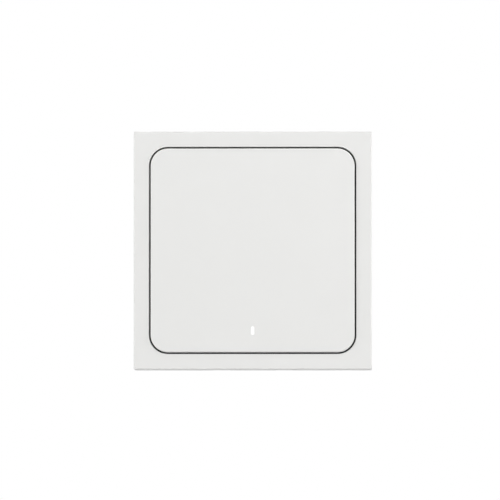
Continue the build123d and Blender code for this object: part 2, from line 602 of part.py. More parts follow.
# Chassis: front half of the module, which carries the hinge, the springs and the stop pads
with BuildPart() as chassis:
    with BuildSketch(level(CHASSIS_BACK)):
        square(FLANGE_WIDTH, FLANGE_CORNER)
    extrude(amount=CHASSIS_PLATE)
    with BuildSketch(level(PARTING)):
        square(MODULE_WIDTH, MODULE_CORNER)
        square(MODULE_WIDTH - 2 * CHASSIS_WALL, MODULE_CORNER - CHASSIS_WALL, mode=Mode.SUBTRACT)
    extrude(amount=CHASSIS_BACK - PARTING)
    # gussets in the corner of the side wall and the front plate, clear of the housing's lip
    wall_inside = MODULE_HALF - CHASSIS_WALL
    for quarter in range(4):
        for along in (-GUSSET_ACROSS, GUSSET_ACROSS):
            with BuildSketch(side(quarter, along)):
                Polygon(
                    (wall_inside, PARTING + LIP_HEIGHT + LOOSE_FIT),
                    (wall_inside, CHASSIS_BACK),
                    (wall_inside - GUSSET_REACH, CHASSIS_BACK),
                )
            extrude(amount=GUSSET_THICKNESS / 2, both=True)
    # bosses, sockets' posts, cups and cheeks
    with BuildSketch(level(PARTING)):
        with GridLocations(2 * SCREW_PLACE, 2 * SCREW_PLACE, 2, 2):
            Circle(CHASSIS_BOSS_RADIUS)
    extrude(amount=CHASSIS_BACK - PARTING)
    with BuildSketch(level(PCB_FRONT)):
        with Locations(*posts):
            Circle(POST_RADIUS)
    extrude(amount=COMPONENT_HEADROOM)
    with BuildSketch(level(CUP_BOTTOM)):
        with Locations((0, SPRING_PLACE)):
            with GridLocations(2 * SPRING_ACROSS, 0, 2, 1):
                Circle(CUP_RADIUS + CUP_WALL)
    extrude(amount=CHASSIS_BACK - CUP_BOTTOM)
    for across in (-HINGE_ACROSS, HINGE_ACROSS):
        for hand in (-1, 1):
            cheek = across + hand * (EAR_THICKNESS / 2 + SIDE_PLAY + CHEEK_THICKNESS / 2)
            with BuildSketch(side(0, cheek)):
                with Locations((HINGE_HEIGHT, HINGE_DEPTH)):
                    Circle(EAR_RADIUS)
                with Locations((HINGE_HEIGHT, HINGE_DEPTH + HINGE_BELOW_PLATE / 2)):
                    Rectangle(2 * EAR_RADIUS, HINGE_BELOW_PLATE)
            extrude(amount=CHEEK_THICKNESS / 2, both=True)
        with BuildSketch(side(0, across)):
            with Locations((HINGE_HEIGHT, HINGE_DEPTH)):
                Circle(PIN_RADIUS + TIGHT_FIT)
        pin_reach = EAR_THICKNESS / 2 + SIDE_PLAY + CHEEK_THICKNESS
        extrude(amount=pin_reach, both=True, mode=Mode.SUBTRACT)
    # spring bores, sockets over the housing's pegs and pilot holes for the screws
    with BuildSketch(level(SPRING_SEAT)):
        with Locations((0, SPRING_PLACE)):
            with GridLocations(2 * SPRING_ACROSS, 0, 2, 1):
                Circle(CUP_RADIUS)
    extrude(amount=CHASSIS_FACE - SPRING_SEAT, mode=Mode.SUBTRACT)
    with BuildSketch(level(PCB_FRONT)):
        with Locations(*posts):
            Circle(PEG_RADIUS + LOOSE_FIT)
    extrude(amount=PEG_LENGTH - PCB_THICKNESS + LOOSE_FIT, mode=Mode.SUBTRACT)
    with BuildSketch(level(PARTING)):
        with GridLocations(2 * SCREW_PLACE, 2 * SCREW_PLACE, 2, 2):
            Circle(SCREW_RADIUS + TIGHT_FIT)
    extrude(amount=SCREW_SEAT + SCREW_LENGTH + SIDE_PLAY - PARTING, mode=Mode.SUBTRACT)
    # windows through the front plate
    shroud_width = LED_WIDTH + 2 * (SHROUD_GAP + SHROUD_WALL)
    shroud_length = LED_LENGTH + 2 * (SHROUD_GAP + SHROUD_WALL)
    with BuildSketch(level(CHASSIS_BACK)):
        with Locations((0, SWITCH_PLACE)):
            square(SWITCH_WIDTH + 2 * SWITCH_WINDOW_GAP, SWITCH_CORNER)
        with Locations((0, INDICATOR_HEIGHT)):
            Rectangle(shroud_width + 2 * SHROUD_WINDOW_GAP, shroud_length + 2 * SHROUD_WINDOW_GAP)
        with Locations((0, HINGE_HEIGHT)):
            with GridLocations(2 * HINGE_ACROSS, 0, 2, 1):
                Rectangle(EAR_THICKNESS + 2 * SIDE_PLAY, 2 * (EAR_RADIUS + EAR_WINDOW_GAP))
        slot_inner = KEY_BOTTOM + STOP_HOOK_INSET + SIDE_PLAY
        slot_outer = slot_inner - STOP_HOOK_THICKNESS - 3 * SIDE_PLAY
        with Locations((0, (slot_inner + slot_outer) / 2)):
            with GridLocations(2 * STOP_HOOK_ACROSS, 0, 2, 1):
                Rectangle(STOP_HOOK_WIDTH + 2 * SIDE_PLAY, slot_inner - slot_outer)
    extrude(amount=CHASSIS_PLATE, mode=Mode.SUBTRACT)
write(chassis, "chassis")

# Main circuit board, on the housing's posts
with BuildPart() as pcb:
    with BuildSketch(level(PCB_BACK)):
        with Locations((0, (PCB_TOP + PCB_BOTTOM) / 2)):
            RectangleRounded(PCB_WIDTH, PCB_TOP - PCB_BOTTOM, PCB_CORNER)
        with Locations(*posts):
            Circle(PEG_RADIUS + PEG_CLEARANCE, mode=Mode.SUBTRACT)
    extrude(amount=PCB_THICKNESS)
write(pcb, "pcb")

# Key: cover plate with a short rim and four snaps
with BuildPart() as key:
    with BuildSketch(level(CARRIER_BACK)):
        square(KEY_WIDTH, KEY_CORNER)
    extrude(amount=KEY_FACE - CARRIER_BACK)
    fillet(key.faces().sort_by(Axis.Y)[0].edges(), KEY_EDGE)
    with BuildSketch(level(CARRIER_BACK)):
        square(KEY_INSIDE, KEY_INSIDE_CORNER)
    extrude(amount=CARRIER_THICKNESS, mode=Mode.SUBTRACT)
    with BuildSketch(level(CARRIER_FRONT)):
        with Locations((0, INDICATOR_HEIGHT)):
            SlotOverall(INDICATOR_LENGTH, INDICATOR_WIDTH, rotation=90)
    extrude(amount=KEY_PLATE, mode=Mode.SUBTRACT)
    outer = CARRIER_WIDTH / 2 - SNAP_INSET
    inner = outer - SNAP_THICKNESS
    for quarter in (0, 2):
        for across in (-SNAP_ACROSS, SNAP_ACROSS):
            with BuildSketch(side(quarter, across)):
                Polygon(
                    (outer, CARRIER_FRONT),
                    (outer, CARRIER_BACK - SNAP_DROP),
                    (inner, CARRIER_BACK - SNAP_DROP),
                    (inner - SNAP_BITE, CARRIER_BACK - SNAP_CATCH),
                    (inner - SNAP_BITE, CARRIER_BACK),
                    (inner, CARRIER_BACK),
                    (inner, CARRIER_FRONT),
                )
            extrude(amount=SNAP_WIDTH / 2, both=True)
write(key, "key")

# Key carrier: hinged moulding behind the key
with BuildPart() as key_carrier:
    with BuildSketch(level(CARRIER_BACK)):
        square(CARRIER_WIDTH, CARRIER_CORNER)
    extrude(amount=CARRIER_THICKNESS)
    with BuildSketch(level(CARRIER_FRONT)):
        with GridLocations(CARRIER_POCKET_PITCH, CARRIER_POCKET_PITCH, CARRIER_POCKETS, CARRIER_POCKETS):
            square(CARRIER_POCKET_WIDTH, CARRIER_POCKET_CORNER)
    extrude(amount=-CARRIER_POCKET_DEPTH, mode=Mode.SUBTRACT)
    # seat of the light guide's flange, and the slot that its stem passes
    with BuildSketch(level(CARRIER_FRONT)):
        with Locations((0, INDICATOR_HEIGHT)):
            RectangleRounded(
                INDICATOR_WIDTH + 2 * (GUIDE_FLANGE_BORDER + LOOSE_FIT),
                INDICATOR_LENGTH + 2 * (GUIDE_FLANGE_BORDER + LOOSE_FIT),
                GUIDE_FLANGE_CORNER,
            )
    extrude(amount=-CARRIER_POCKET_DEPTH, mode=Mode.SUBTRACT)
    with BuildSketch(level(CARRIER_BACK)):
        with Locations((0, INDICATOR_HEIGHT)):
            SlotOverall(INDICATOR_LENGTH + 2 * LOOSE_FIT, INDICATOR_WIDTH + 2 * LOOSE_FIT, rotation=90)
    extrude(amount=CARRIER_THICKNESS, mode=Mode.SUBTRACT)
    # windows for the key's snaps, wider outwards so that a snap can bend in
    for quarter in (0, 2):
        for across in (-SNAP_ACROSS, SNAP_ACROSS):
            with BuildSketch(side(quarter, across)):
                Polygon(
                    (inner - LOOSE_FIT, CARRIER_BACK),
                    (outer + SNAP_FLEX, CARRIER_BACK),
                    (outer + SNAP_FLEX, CARRIER_FRONT),
                    (inner - LOOSE_FIT, CARRIER_FRONT),
                )
            extrude(amount=SNAP_WIDTH / 2 + SIDE_PLAY, both=True, mode=Mode.SUBTRACT)
    # studs inside the springs, then the pusher over the switch
    with BuildSketch(level(CARRIER_BACK)):
        with Locations((0, SPRING_PLACE)):
            with GridLocations(2 * SPRING_ACROSS, 0, 2, 1):
                Circle(STUD_RADIUS)
    extrude(amount=-STUD_LENGTH)
    chamfer(key_carrier.edges().group_by(Axis.Y)[-1], STUD_EDGE)
    with BuildSketch(level(CARRIER_BACK)):
        with Locations((0, SWITCH_PLACE)):
            Circle(PUSHER_RADIUS)
    extrude(amount=PUSHER_TIP - CARRIER_BACK)
    chamfer(key_carrier.edges().group_by(Axis.Y)[-1], PUSHER_EDGE)
    # hinge ears and the bar between them
    with BuildSketch(level(CARRIER_BACK)):
        with Locations((0, HINGE_HEIGHT)):
            Rectangle(2 * HINGE_ACROSS, TIE_THICKNESS)
    extrude(amount=-TIE_HEIGHT)
    for across in (-HINGE_ACROSS, HINGE_ACROSS):
        with BuildSketch(side(0, across)):
            with Locations((HINGE_HEIGHT, HINGE_DEPTH)):
                Circle(EAR_RADIUS)
            with Locations((HINGE_HEIGHT, (HINGE_DEPTH + CARRIER_BACK) / 2)):
                Rectangle(2 * EAR_RADIUS, CARRIER_BACK - HINGE_DEPTH)
            with Locations((HINGE_HEIGHT, HINGE_DEPTH)):
                Circle(PIN_RADIUS + TURNING_FIT, mode=Mode.SUBTRACT)
        extrude(amount=EAR_THICKNESS / 2, both=True)
    # hooks that stop the key from lifting past rest
    hook_inner = -KEY_BOTTOM - STOP_HOOK_INSET
    hook_outer = hook_inner + STOP_HOOK_THICKNESS
    for across in (-STOP_HOOK_ACROSS, STOP_HOOK_ACROSS):
        with BuildSketch(side(2, across)):
            Polygon(
                (hook_inner, CARRIER_BACK),
                (hook_outer, CARRIER_BACK),
                (hook_outer, CHASSIS_BACK),
                (hook_outer + STOP_HOOK_BITE, CHASSIS_BACK),
                (hook_outer + STOP_HOOK_BITE, CHASSIS_BACK - STOP_HOOK_TIP),
                (hook_outer, CHASSIS_BACK - STOP_HOOK_DROP),
                (hook_inner, CHASSIS_BACK - STOP_HOOK_DROP),
            )
        extrude(amount=STOP_HOOK_WIDTH / 2, both=True)
write(key_carrier, "key_carrier")

# Light guide: clear stem through the key, held by its flange
with BuildPart() as light_guide:
    with BuildSketch(level(CARRIER_BACK - GUIDE_TAIL)):
        with Locations((0, INDICATOR_HEIGHT)):
            SlotOverall(INDICATOR_LENGTH - 2 * GUIDE_FIT, INDICATOR_WIDTH - 2 * GUIDE_FIT, rotation=90)
    extrude(amount=KEY_FACE - CARRIER_BACK + GUIDE_TAIL)
    with BuildSketch(level(CARRIER_FRONT)):
        with Locations((0, INDICATOR_HEIGHT)):
            RectangleRounded(
                INDICATOR_WIDTH + 2 * GUIDE_FLANGE_BORDER,
                INDICATOR_LENGTH + 2 * GUIDE_FLANGE_BORDER,
                GUIDE_FLANGE_CORNER,
            )
    extrude(amount=-CARRIER_POCKET_DEPTH)
write(light_guide, "light_guide")

# Hinge pins: pressed into the chassis, the key's ears turn on them
for hand, across in (("left", -HINGE_ACROSS), ("right", HINGE_ACROSS)):
    with BuildPart() as hinge_pin:
        with BuildSketch(side(0, across)):
            with Locations((HINGE_HEIGHT, HINGE_DEPTH)):
                Circle(PIN_RADIUS)
        extrude(amount=pin_reach, both=True)
        chamfer(hinge_pin.edges().filter_by(GeomType.CIRCLE), PIN_EDGE)
    write(hinge_pin, f"hinge_pin_{hand}")


def coil(across, height, low, high, radius, turns):
    """Helix that climbs from one depth to another, as two tangent arcs to each half turn."""
    halves = 2 * turns
    climb = (high - low) / halves

    def place(half):
        angle = half * math.pi
        return Vector(
            across + radius * math.cos(angle),
            -low - climb * half,
            height + radius * math.sin(angle),
        )

    def heading(half):
        angle = half * math.pi
        run = radius * math.pi
        return Vector(-run * math.sin(angle), -climb, run * math.cos(angle)).normalized()

    for half in range(halves):
        start, end = place(half), place(half + 1)
        leave, arrive = heading(half), heading(half + 1)
        chord = end - start
        pull = chord.dot(leave + arrive)
        spread = 2 * (1 - leave.dot(arrive))
        reach = (math.sqrt(pull**2 + spread * chord.dot(chord)) - pull) / spread
        middle = (start + end + (leave - arrive) * reach) / 2
        turn = (end - arrive * reach) - (start + leave * reach)
        TangentArc(start, middle, tangent=leave)
        TangentArc(middle, end, tangent=turn.normalized())


# Return springs: from the cups' floors to the carrier's back
for hand, across in (("left", -SPRING_ACROSS), ("right", SPRING_ACROSS)):
    with BuildPart() as return_spring:
        with BuildLine() as wire:
            coil(
                across,
                SPRING_PLACE,
                SPRING_SEAT + SPRING_WIRE / 2,
                CARRIER_BACK - SPRING_WIRE / 2,
                SPRING_RADIUS,
                SPRING_TURNS,
            )
        with BuildSketch(Plane(origin=wire.wires()[0] @ 0, z_dir=wire.wires()[0] % 0)):
            RegularPolygon(SPRING_WIRE / 2, SPRING_WIRE_FACETS)
        sweep()
    write(return_spring, f"return_spring_{hand}")

# Stop pads: rubber discs on the chassis that end the travel
with BuildPart() as stop_pads:
    with BuildSketch(level(CHASSIS_FACE)):
        with Locations((0, STOP_PAD_PLACE)):
            with GridLocations(2 * STOP_PAD_ACROSS, 0, 2, 1):
                Circle(STOP_PAD_RADIUS)
    extrude(amount=CARRIER_BACK - CHASSIS_FACE - STOP_PAD_TRAVEL - STOP_PAD_CLEARANCE)
    chamfer(stop_pads.edges().group_by(Axis.Y)[0], STOP_PAD_EDGE)
write(stop_pads, "stop_pads")

# Key switch: moulded base with four terminals
with BuildPart() as switch_base:
    with BuildSketch(level(PCB_FRONT)):
        with Locations((0, SWITCH_PLACE)):
            square(SWITCH_WIDTH, SWITCH_CORNER)
    extrude(amount=SWITCH_HEIGHT)
    with BuildSketch(level(PLUNGER_SEAT)):
        with Locations((0, SWITCH_PLACE)):
            Circle(SWITCH_CAVITY_RADIUS)
    extrude(amount=-SWITCH_CAVITY_DEPTH, mode=Mode.SUBTRACT)
write(switch_base, "switch_base")

with BuildPart() as switch_terminals:
    face = SWITCH_WIDTH / 2
    for quarter in (1, 3):
        for step in (-TERMINAL_PITCH / 2, TERMINAL_PITCH / 2):
            # the side planes count clockwise, so the right side's along runs down
            along = step - SWITCH_PLACE if quarter == 1 else step + SWITCH_PLACE
            with BuildSketch(side(quarter, along)):
                Polygon(
                    (face, PCB_FRONT),
                    (face + TERMINAL_LENGTH, PCB_FRONT),
                    (face + TERMINAL_LENGTH, PCB_FRONT + TERMINAL_THICKNESS),
                    (face + TERMINAL_THICKNESS, PCB_FRONT + TERMINAL_THICKNESS),
                    (face + TERMINAL_THICKNESS, PCB_FRONT + TERMINAL_RISE),
                    (face, PCB_FRONT + TERMINAL_RISE),
                )
            extrude(amount=TERMINAL_WIDTH / 2, both=True)
write(switch_terminals, "switch_terminals")

with BuildPart() as switch_cover:
    with BuildSketch(level(PLUNGER_SEAT)):
        with Locations((0, SWITCH_PLACE)):
            square(SWITCH_WIDTH, SWITCH_CORNER)
            Circle(PLUNGER_RADIUS + LOOSE_FIT, mode=Mode.SUBTRACT)
    extrude(amount=SWITCH_COVER)
write(switch_cover, "switch_cover")

with BuildPart() as switch_plunger:
    with BuildSketch(level(PLUNGER_SEAT - PLUNGER_FLANGE)):
        with Locations((0, SWITCH_PLACE)):
            Circle(PLUNGER_FLANGE_RADIUS)
    extrude(amount=PLUNGER_FLANGE)
    with BuildSketch(level(PLUNGER_SEAT)):
        with Locations((0, SWITCH_PLACE)):
            Circle(PLUNGER_RADIUS)
    extrude(amount=PLUNGER_TOP - PLUNGER_SEAT)
    chamfer(switch_plunger.edges().group_by(Axis.Y)[0], PLUNGER_EDGE)
write(switch_plunger, "switch_plunger")

# Rubber dome under the plunger: a hollow cone with a flat top
with BuildPart() as switch_dome:
    floor = PLUNGER_SEAT - SWITCH_CAVITY_DEPTH
    top = PLUNGER_SEAT - PLUNGER_FLANGE
    with BuildSketch(side(0)):
        Polygon(
            (SWITCH_PLACE + DOME_BASE_RADIUS - DOME_WALL, floor),
            (SWITCH_PLACE + DOME_BASE_RADIUS, floor),
            (SWITCH_PLACE + DOME_TOP_RADIUS, top),
            (SWITCH_PLACE, top),
            (SWITCH_PLACE, top - DOME_WALL),
            (SWITCH_PLACE + DOME_TOP_RADIUS - DOME_WALL, top - DOME_WALL),
        )
    revolve(axis=Axis((0, 0, SWITCH_PLACE), (0, -1, 0)))
write(switch_dome, "switch_dome")

# Indicator light and the dark tube round it
with BuildPart() as indicator_led:
    with BuildSketch(level(PCB_FRONT)):
        with Locations((0, INDICATOR_HEIGHT)):
            Rectangle(LED_WIDTH, LED_LENGTH)
    extrude(amount=LED_HEIGHT)
    with BuildSketch(level(PCB_FRONT + LED_HEIGHT)):
        with Locations((0, INDICATOR_HEIGHT)):
            Rectangle(LED_WIDTH, LED_LENS_LENGTH)
    extrude(amount=LED_LENS_HEIGHT)
    fillet(indicator_led.edges().group_by(Axis.Y)[0], LED_LENS_EDGE)
write(indicator_led, "indicator_led")

with BuildPart() as led_shroud:
    with BuildSketch(level(PCB_FRONT)):
        with Locations((0, INDICATOR_HEIGHT)):
            Rectangle(shroud_width, shroud_length)
            Rectangle(LED_WIDTH + 2 * SHROUD_GAP, LED_LENGTH + 2 * SHROUD_GAP, mode=Mode.SUBTRACT)
    extrude(amount=CHASSIS_FACE - PCB_FRONT)
write(led_shroud, "led_shroud")

# Pairing switch: it faces the wall behind a small hole in the housing
with BuildPart() as pair_switch_base:
    with BuildSketch(level(PAIR_COVER_SEAT)):
        with Locations((PAIR_ACROSS, PAIR_HEIGHT)):
            square(PAIR_WIDTH, PAIR_CORNER)
    extrude(amount=PAIR_BASE)
    with BuildSketch(level(PAIR_COVER_SEAT)):
        with Locations((PAIR_ACROSS, PAIR_HEIGHT)):
            Circle(PAIR_CAVITY_RADIUS)
    extrude(amount=PAIR_CAVITY_DEPTH, mode=Mode.SUBTRACT)
write(pair_switch_base, "pair_switch_base")

with BuildPart() as pair_switch_cover:
    with BuildSketch(level(PAIR_COVER_SEAT - PAIR_COVER)):
        with Locations((PAIR_ACROSS, PAIR_HEIGHT)):
            square(PAIR_WIDTH, PAIR_CORNER)
            Circle(PAIR_PLUNGER_RADIUS + LOOSE_FIT, mode=Mode.SUBTRACT)
    extrude(amount=PAIR_COVER)
write(pair_switch_cover, "pair_switch_cover")

with BuildPart() as pair_plunger:
    with BuildSketch(level(PAIR_COVER_SEAT)):
        with Locations((PAIR_ACROSS, PAIR_HEIGHT)):
            Circle(PAIR_FLANGE_RADIUS)
    extrude(amount=PAIR_FLANGE)
    with BuildSketch(level(PAIR_COVER_SEAT - PAIR_STAND_OUT)):
        with Locations((PAIR_ACROSS, PAIR_HEIGHT)):
            Circle(PAIR_PLUNGER_RADIUS)
    extrude(amount=PAIR_STAND_OUT)
    chamfer(pair_plunger.edges().group_by(Axis.Y)[-1], PLUNGER_EDGE)
write(pair_plunger, "pair_plunger")

# Snap dome: a thin spherical cap between the plunger's flange and the cavity's floor
with BuildPart() as pair_dome:
    crown = PAIR_COVER_SEAT + PAIR_FLANGE
    rim_depth = PAIR_FLOOR
    rise = rim_depth - crown
    with BuildSketch(side(0, PAIR_ACROSS)):
        with BuildLine():
            outer_arc = RadiusArc(
                (PAIR_HEIGHT, crown),
                (PAIR_HEIGHT + PAIR_DOME_RADIUS, rim_depth),
                -(PAIR_DOME_RADIUS**2 + rise**2) / (2 * rise),
            )
            Line(outer_arc @ 1, (PAIR_HEIGHT + PAIR_DOME_RADIUS - PAIR_DOME_THICKNESS, rim_depth))
            inner_radius = PAIR_DOME_RADIUS - PAIR_DOME_THICKNESS
            inner_rise = rise - PAIR_DOME_THICKNESS
            RadiusArc(
                (PAIR_HEIGHT + inner_radius, rim_depth),
                (PAIR_HEIGHT, crown + PAIR_DOME_THICKNESS),
                (inner_radius**2 + inner_rise**2) / (2 * inner_rise),
            )
            Line((PAIR_HEIGHT, crown + PAIR_DOME_THICKNESS), (PAIR_HEIGHT, crown))
        make_face()
    revolve(axis=Axis((PAIR_ACROSS, 0, PAIR_HEIGHT), (0, -1, 0)))
write(pair_dome, "pair_dome")

# Coin cell, its can towards the wall and its cap towards the board
with BuildPart() as coin_cell:
    with BuildSketch(level(CELL_BACK)):
        Circle(CELL_RADIUS)
    extrude(amount=CELL_THICKNESS - CELL_CAP_STEP)
    chamfer(coin_cell.edges(), CELL_EDGE)
    with BuildSketch(level(CELL_FRONT - CELL_CAP_STEP)):
        Circle(CELL_CAP_RADIUS)
    extrude(amount=CELL_CAP_STEP)
write(coin_cell, "coin_cell")

# Battery holder: ring on the back of the board, open where a finger pushes and where the clip stands
with BuildPart() as battery_holder:
    holder_back = HOUSING_INSIDE + HOLDER_LIFT
    with BuildSketch(level(holder_back)):
        Circle(HOLDER_RADIUS)
        Circle(HOLDER_INSIDE, mode=Mode.SUBTRACT)
        with Locations((HOLDER_RADIUS, 0)):
            Rectangle(2 * (HOLDER_WALL + HOLDER_CLEARANCE), CLIP_WIDTH + 2 * SIDE_PLAY, mode=Mode.SUBTRACT)
    extrude(amount=PCB_BACK - holder_back)
    with BuildSketch(level(holder_back)):
        with Locations((0, HOLDER_RADIUS)):
            Rectangle(HOLDER_NOTCH, 2 * (HOLDER_WALL + HOLDER_CLEARANCE))
    extrude(amount=PCB_BACK - HOLDER_BASE - holder_back, mode=Mode.SUBTRACT)
write(battery_holder, "battery_holder")

# Negative contact: flat strip with dimples that touch the cell's cap
with BuildPart() as contact_negative:
    with BuildSketch(level(PCB_BACK - STRIP_THICKNESS)):
        SlotOverall(STRIP_LENGTH, STRIP_WIDTH)
    extrude(amount=STRIP_THICKNESS)
    with BuildSketch(level(CELL_FRONT)):
        with GridLocations(STRIP_DIMPLE_PITCH, 0, STRIP_DIMPLES, 1):
            Circle(STRIP_DIMPLE_RADIUS)
    extrude(amount=CONTACT_HEIGHT - STRIP_THICKNESS)
write(contact_negative, "contact_negative")

# Positive contact: bent clip that stands beside the cell's can
with BuildPart() as contact_positive:
    leg = CELL_RADIUS + CLIP_PLAY
    with BuildSketch(side(1)):
        Polygon(
            (leg, CELL_BACK + CLIP_LEG_INSET),
            (leg + CLIP_THICKNESS, CELL_BACK + CLIP_LEG_INSET),
            (leg + CLIP_THICKNESS, PCB_BACK - CLIP_THICKNESS),
            (leg + CLIP_FOOT, PCB_BACK - CLIP_THICKNESS),
            (leg + CLIP_FOOT, PCB_BACK),
            (leg, PCB_BACK),
        )
    extrude(amount=CLIP_WIDTH / 2, both=True)
write(contact_positive, "contact_positive")

# Radio module on the back of the board: its own small board under a drawn shield
with BuildPart() as radio_board:
    with BuildSketch(level(PCB_BACK - RADIO_THICKNESS)):
        with Locations((RADIO_ACROSS, RADIO_HEIGHT)):
            Rectangle(RADIO_WIDTH, RADIO_LENGTH)
            with GridLocations(RADIO_WIDTH, RADIO_PAD_PITCH, 2, RADIO_PADS):
                Circle(RADIO_PAD_RADIUS, mode=Mode.SUBTRACT)
    extrude(amount=RADIO_THICKNESS)
write(radio_board, "radio_board")

with BuildPart() as radio_shield:
    shield_width = RADIO_WIDTH - 2 * SHIELD_MARGIN
    shield_height = RADIO_HEIGHT - (RADIO_LENGTH - SHIELD_LENGTH) / 2 + SHIELD_MARGIN
    with BuildSketch(level(PCB_BACK - RADIO_THICKNESS)):
        with Locations((RADIO_ACROSS, shield_height)):
            RectangleRounded(shield_width, SHIELD_LENGTH, SHIELD_CORNER)
    extrude(amount=-SHIELD_RISE)
    with BuildSketch(level(PCB_BACK - RADIO_THICKNESS)):
        with Locations((RADIO_ACROSS, shield_height)):
            RectangleRounded(
                shield_width - 2 * SHIELD_WALL, SHIELD_LENGTH - 2 * SHIELD_WALL, SHIELD_CORNER - SHIELD_WALL
            )
    extrude(amount=SHIELD_WALL - SHIELD_RISE, mode=Mode.SUBTRACT)
write(radio_shield, "radio_shield")

with BuildPart() as crystal:
    with BuildSketch(level(PCB_FRONT)):
        with Locations((CRYSTAL_ACROSS, CRYSTAL_HEIGHT)):
            RectangleRounded(CRYSTAL_LENGTH, CRYSTAL_WIDTH, CRYSTAL_CORNER)
    extrude(amount=CRYSTAL_RISE)
write(crystal, "crystal")

with BuildPart() as capacitors:
    with BuildSketch(level(PCB_FRONT)):
        with Locations((CAPACITOR_ACROSS, CAPACITOR_HEIGHT)):
            with GridLocations(CAPACITOR_PITCH, CAPACITOR_PITCH, CAPACITOR_ROW, 2):
                Rectangle(CAPACITOR_WIDTH, CAPACITOR_LENGTH)
    extrude(amount=CAPACITOR_RISE)
write(capacitors, "capacitors")

turn_gap = (CARRIER_BACK - SPRING_SEAT - SPRING_WIRE) / SPRING_TURNS - SPRING_WIRE
print(f"key tilt {math.degrees(KEY_TILT):.4f} degrees, switch travel {SWITCH_TRAVEL:.4f} mm")
print(f"hinge at height {HINGE_HEIGHT:.3f} and depth {HINGE_DEPTH:.3f}")
print(f"springs: least gap between turns {turn_gap:.3f} mm")
print(f"screw holes {2 * MOUNT_RADIUS:.2f} mm apart")
print(f"frame {FRAME_WIDTH:.2f} mm square, key face at {KEY_FACE:.2f} mm")
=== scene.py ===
"""Finishes, small fittings, lamps and camera for a square wall button.

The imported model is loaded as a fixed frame. Lengths are in metres: X to the right, Z up, and -Y out of
the wall towards the person who faces the button.
"""

import math

import bpy
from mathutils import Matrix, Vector


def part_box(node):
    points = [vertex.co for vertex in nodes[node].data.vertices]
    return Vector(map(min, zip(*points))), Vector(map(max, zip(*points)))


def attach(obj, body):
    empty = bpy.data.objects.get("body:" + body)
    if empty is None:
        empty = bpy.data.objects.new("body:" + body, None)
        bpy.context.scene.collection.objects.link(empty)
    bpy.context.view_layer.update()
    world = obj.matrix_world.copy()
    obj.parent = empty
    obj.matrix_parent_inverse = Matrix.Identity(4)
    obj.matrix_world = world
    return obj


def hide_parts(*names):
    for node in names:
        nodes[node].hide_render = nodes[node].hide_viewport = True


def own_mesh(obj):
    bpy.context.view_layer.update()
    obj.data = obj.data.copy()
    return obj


bl_info = {
    "name": "Wall button finishes",
    "version": (1, 0, 0),
    "blender": (4, 5, 0),
    "location": "3D View > Sidebar > Wall button",
    "description": "Dresses a square wall button with plastics, metals, boards and studio light",
    "category": "Object",
}

MM = 0.001
TAU = 2 * math.pi

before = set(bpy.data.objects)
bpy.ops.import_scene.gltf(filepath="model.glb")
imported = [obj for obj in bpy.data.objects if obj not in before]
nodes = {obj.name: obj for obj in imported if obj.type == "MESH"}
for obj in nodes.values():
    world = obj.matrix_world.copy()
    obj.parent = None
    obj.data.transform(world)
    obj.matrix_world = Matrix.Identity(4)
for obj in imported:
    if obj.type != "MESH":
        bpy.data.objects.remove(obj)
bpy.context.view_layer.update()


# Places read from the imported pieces


def middle(node):
    """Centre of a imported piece's box."""
    low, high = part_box(node)
    return (low + high) / 2


def span(node):
    """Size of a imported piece's box."""
    low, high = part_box(node)
    return high - low


WALL_SIDE = {name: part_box(name)[1].y for name in nodes}
USER_SIDE = {name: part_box(name)[0].y for name in nodes}


def millimetres(*lengths):
    """Lengths in millimetres, turned into metres."""
    return tuple(length * MM for length in lengths)


def corners(reach):
    """Places (x, z) at the corners of a square about the button's middle."""
    return [(x, z) for x in (-reach, reach) for z in (-reach, reach)]


# Turns that make a shape drawn along z stand towards the wall or the user, and its plain size

TO_WALL = (-TAU / 4, 0, 0)
TO_USER = (TAU / 4, 0, 0)
FULL_SIZE = (1, 1, 1)

# Springs and domes

SPRING_TURNS = 4
SPRING_WIRE = 0.4 * MM
SPRING_CLOSING_SHARE = 0.5
RUBBER_CROWN_SHARE = 0.52
RUBBER_WALL = 0.25 * MM
RUBBER_LIP = 0.1 * MM
SNAP_SHEET = 0.1 * MM
SNAP_RINGS = 8

# Solder joints: half width, half length and rise of each kind, and how far it is from a part's end

WAIST_SHARE = 0.3
RADIO_PADS = 8
RADIO_PAD_PITCH = 1.4 * MM
RADIO_JOINT = millimetres(0.5, 0.45, 0.72)
SWITCH_JOINT = millimetres(0.4, 0.55, 0.3)
SWITCH_INSET = 0.4 * MM
CAPACITOR_PITCH = 2.4 * MM
CAPACITOR_ROW = 4
CAPACITOR_JOINT = millimetres(0.46, 0.32, 0.42)
CAPACITOR_END = 0.8 * MM
CRYSTAL_JOINT = millimetres(0.35, 0.5, 0.25)
CRYSTAL_INSET = 0.5 * MM
PAIR_JOINT = millimetres(0.45, 0.4, 0.3)
PAIR_INSET = 0.8 * MM

# Tracks, as places (x, z) in millimetres, and the antenna on the radio board

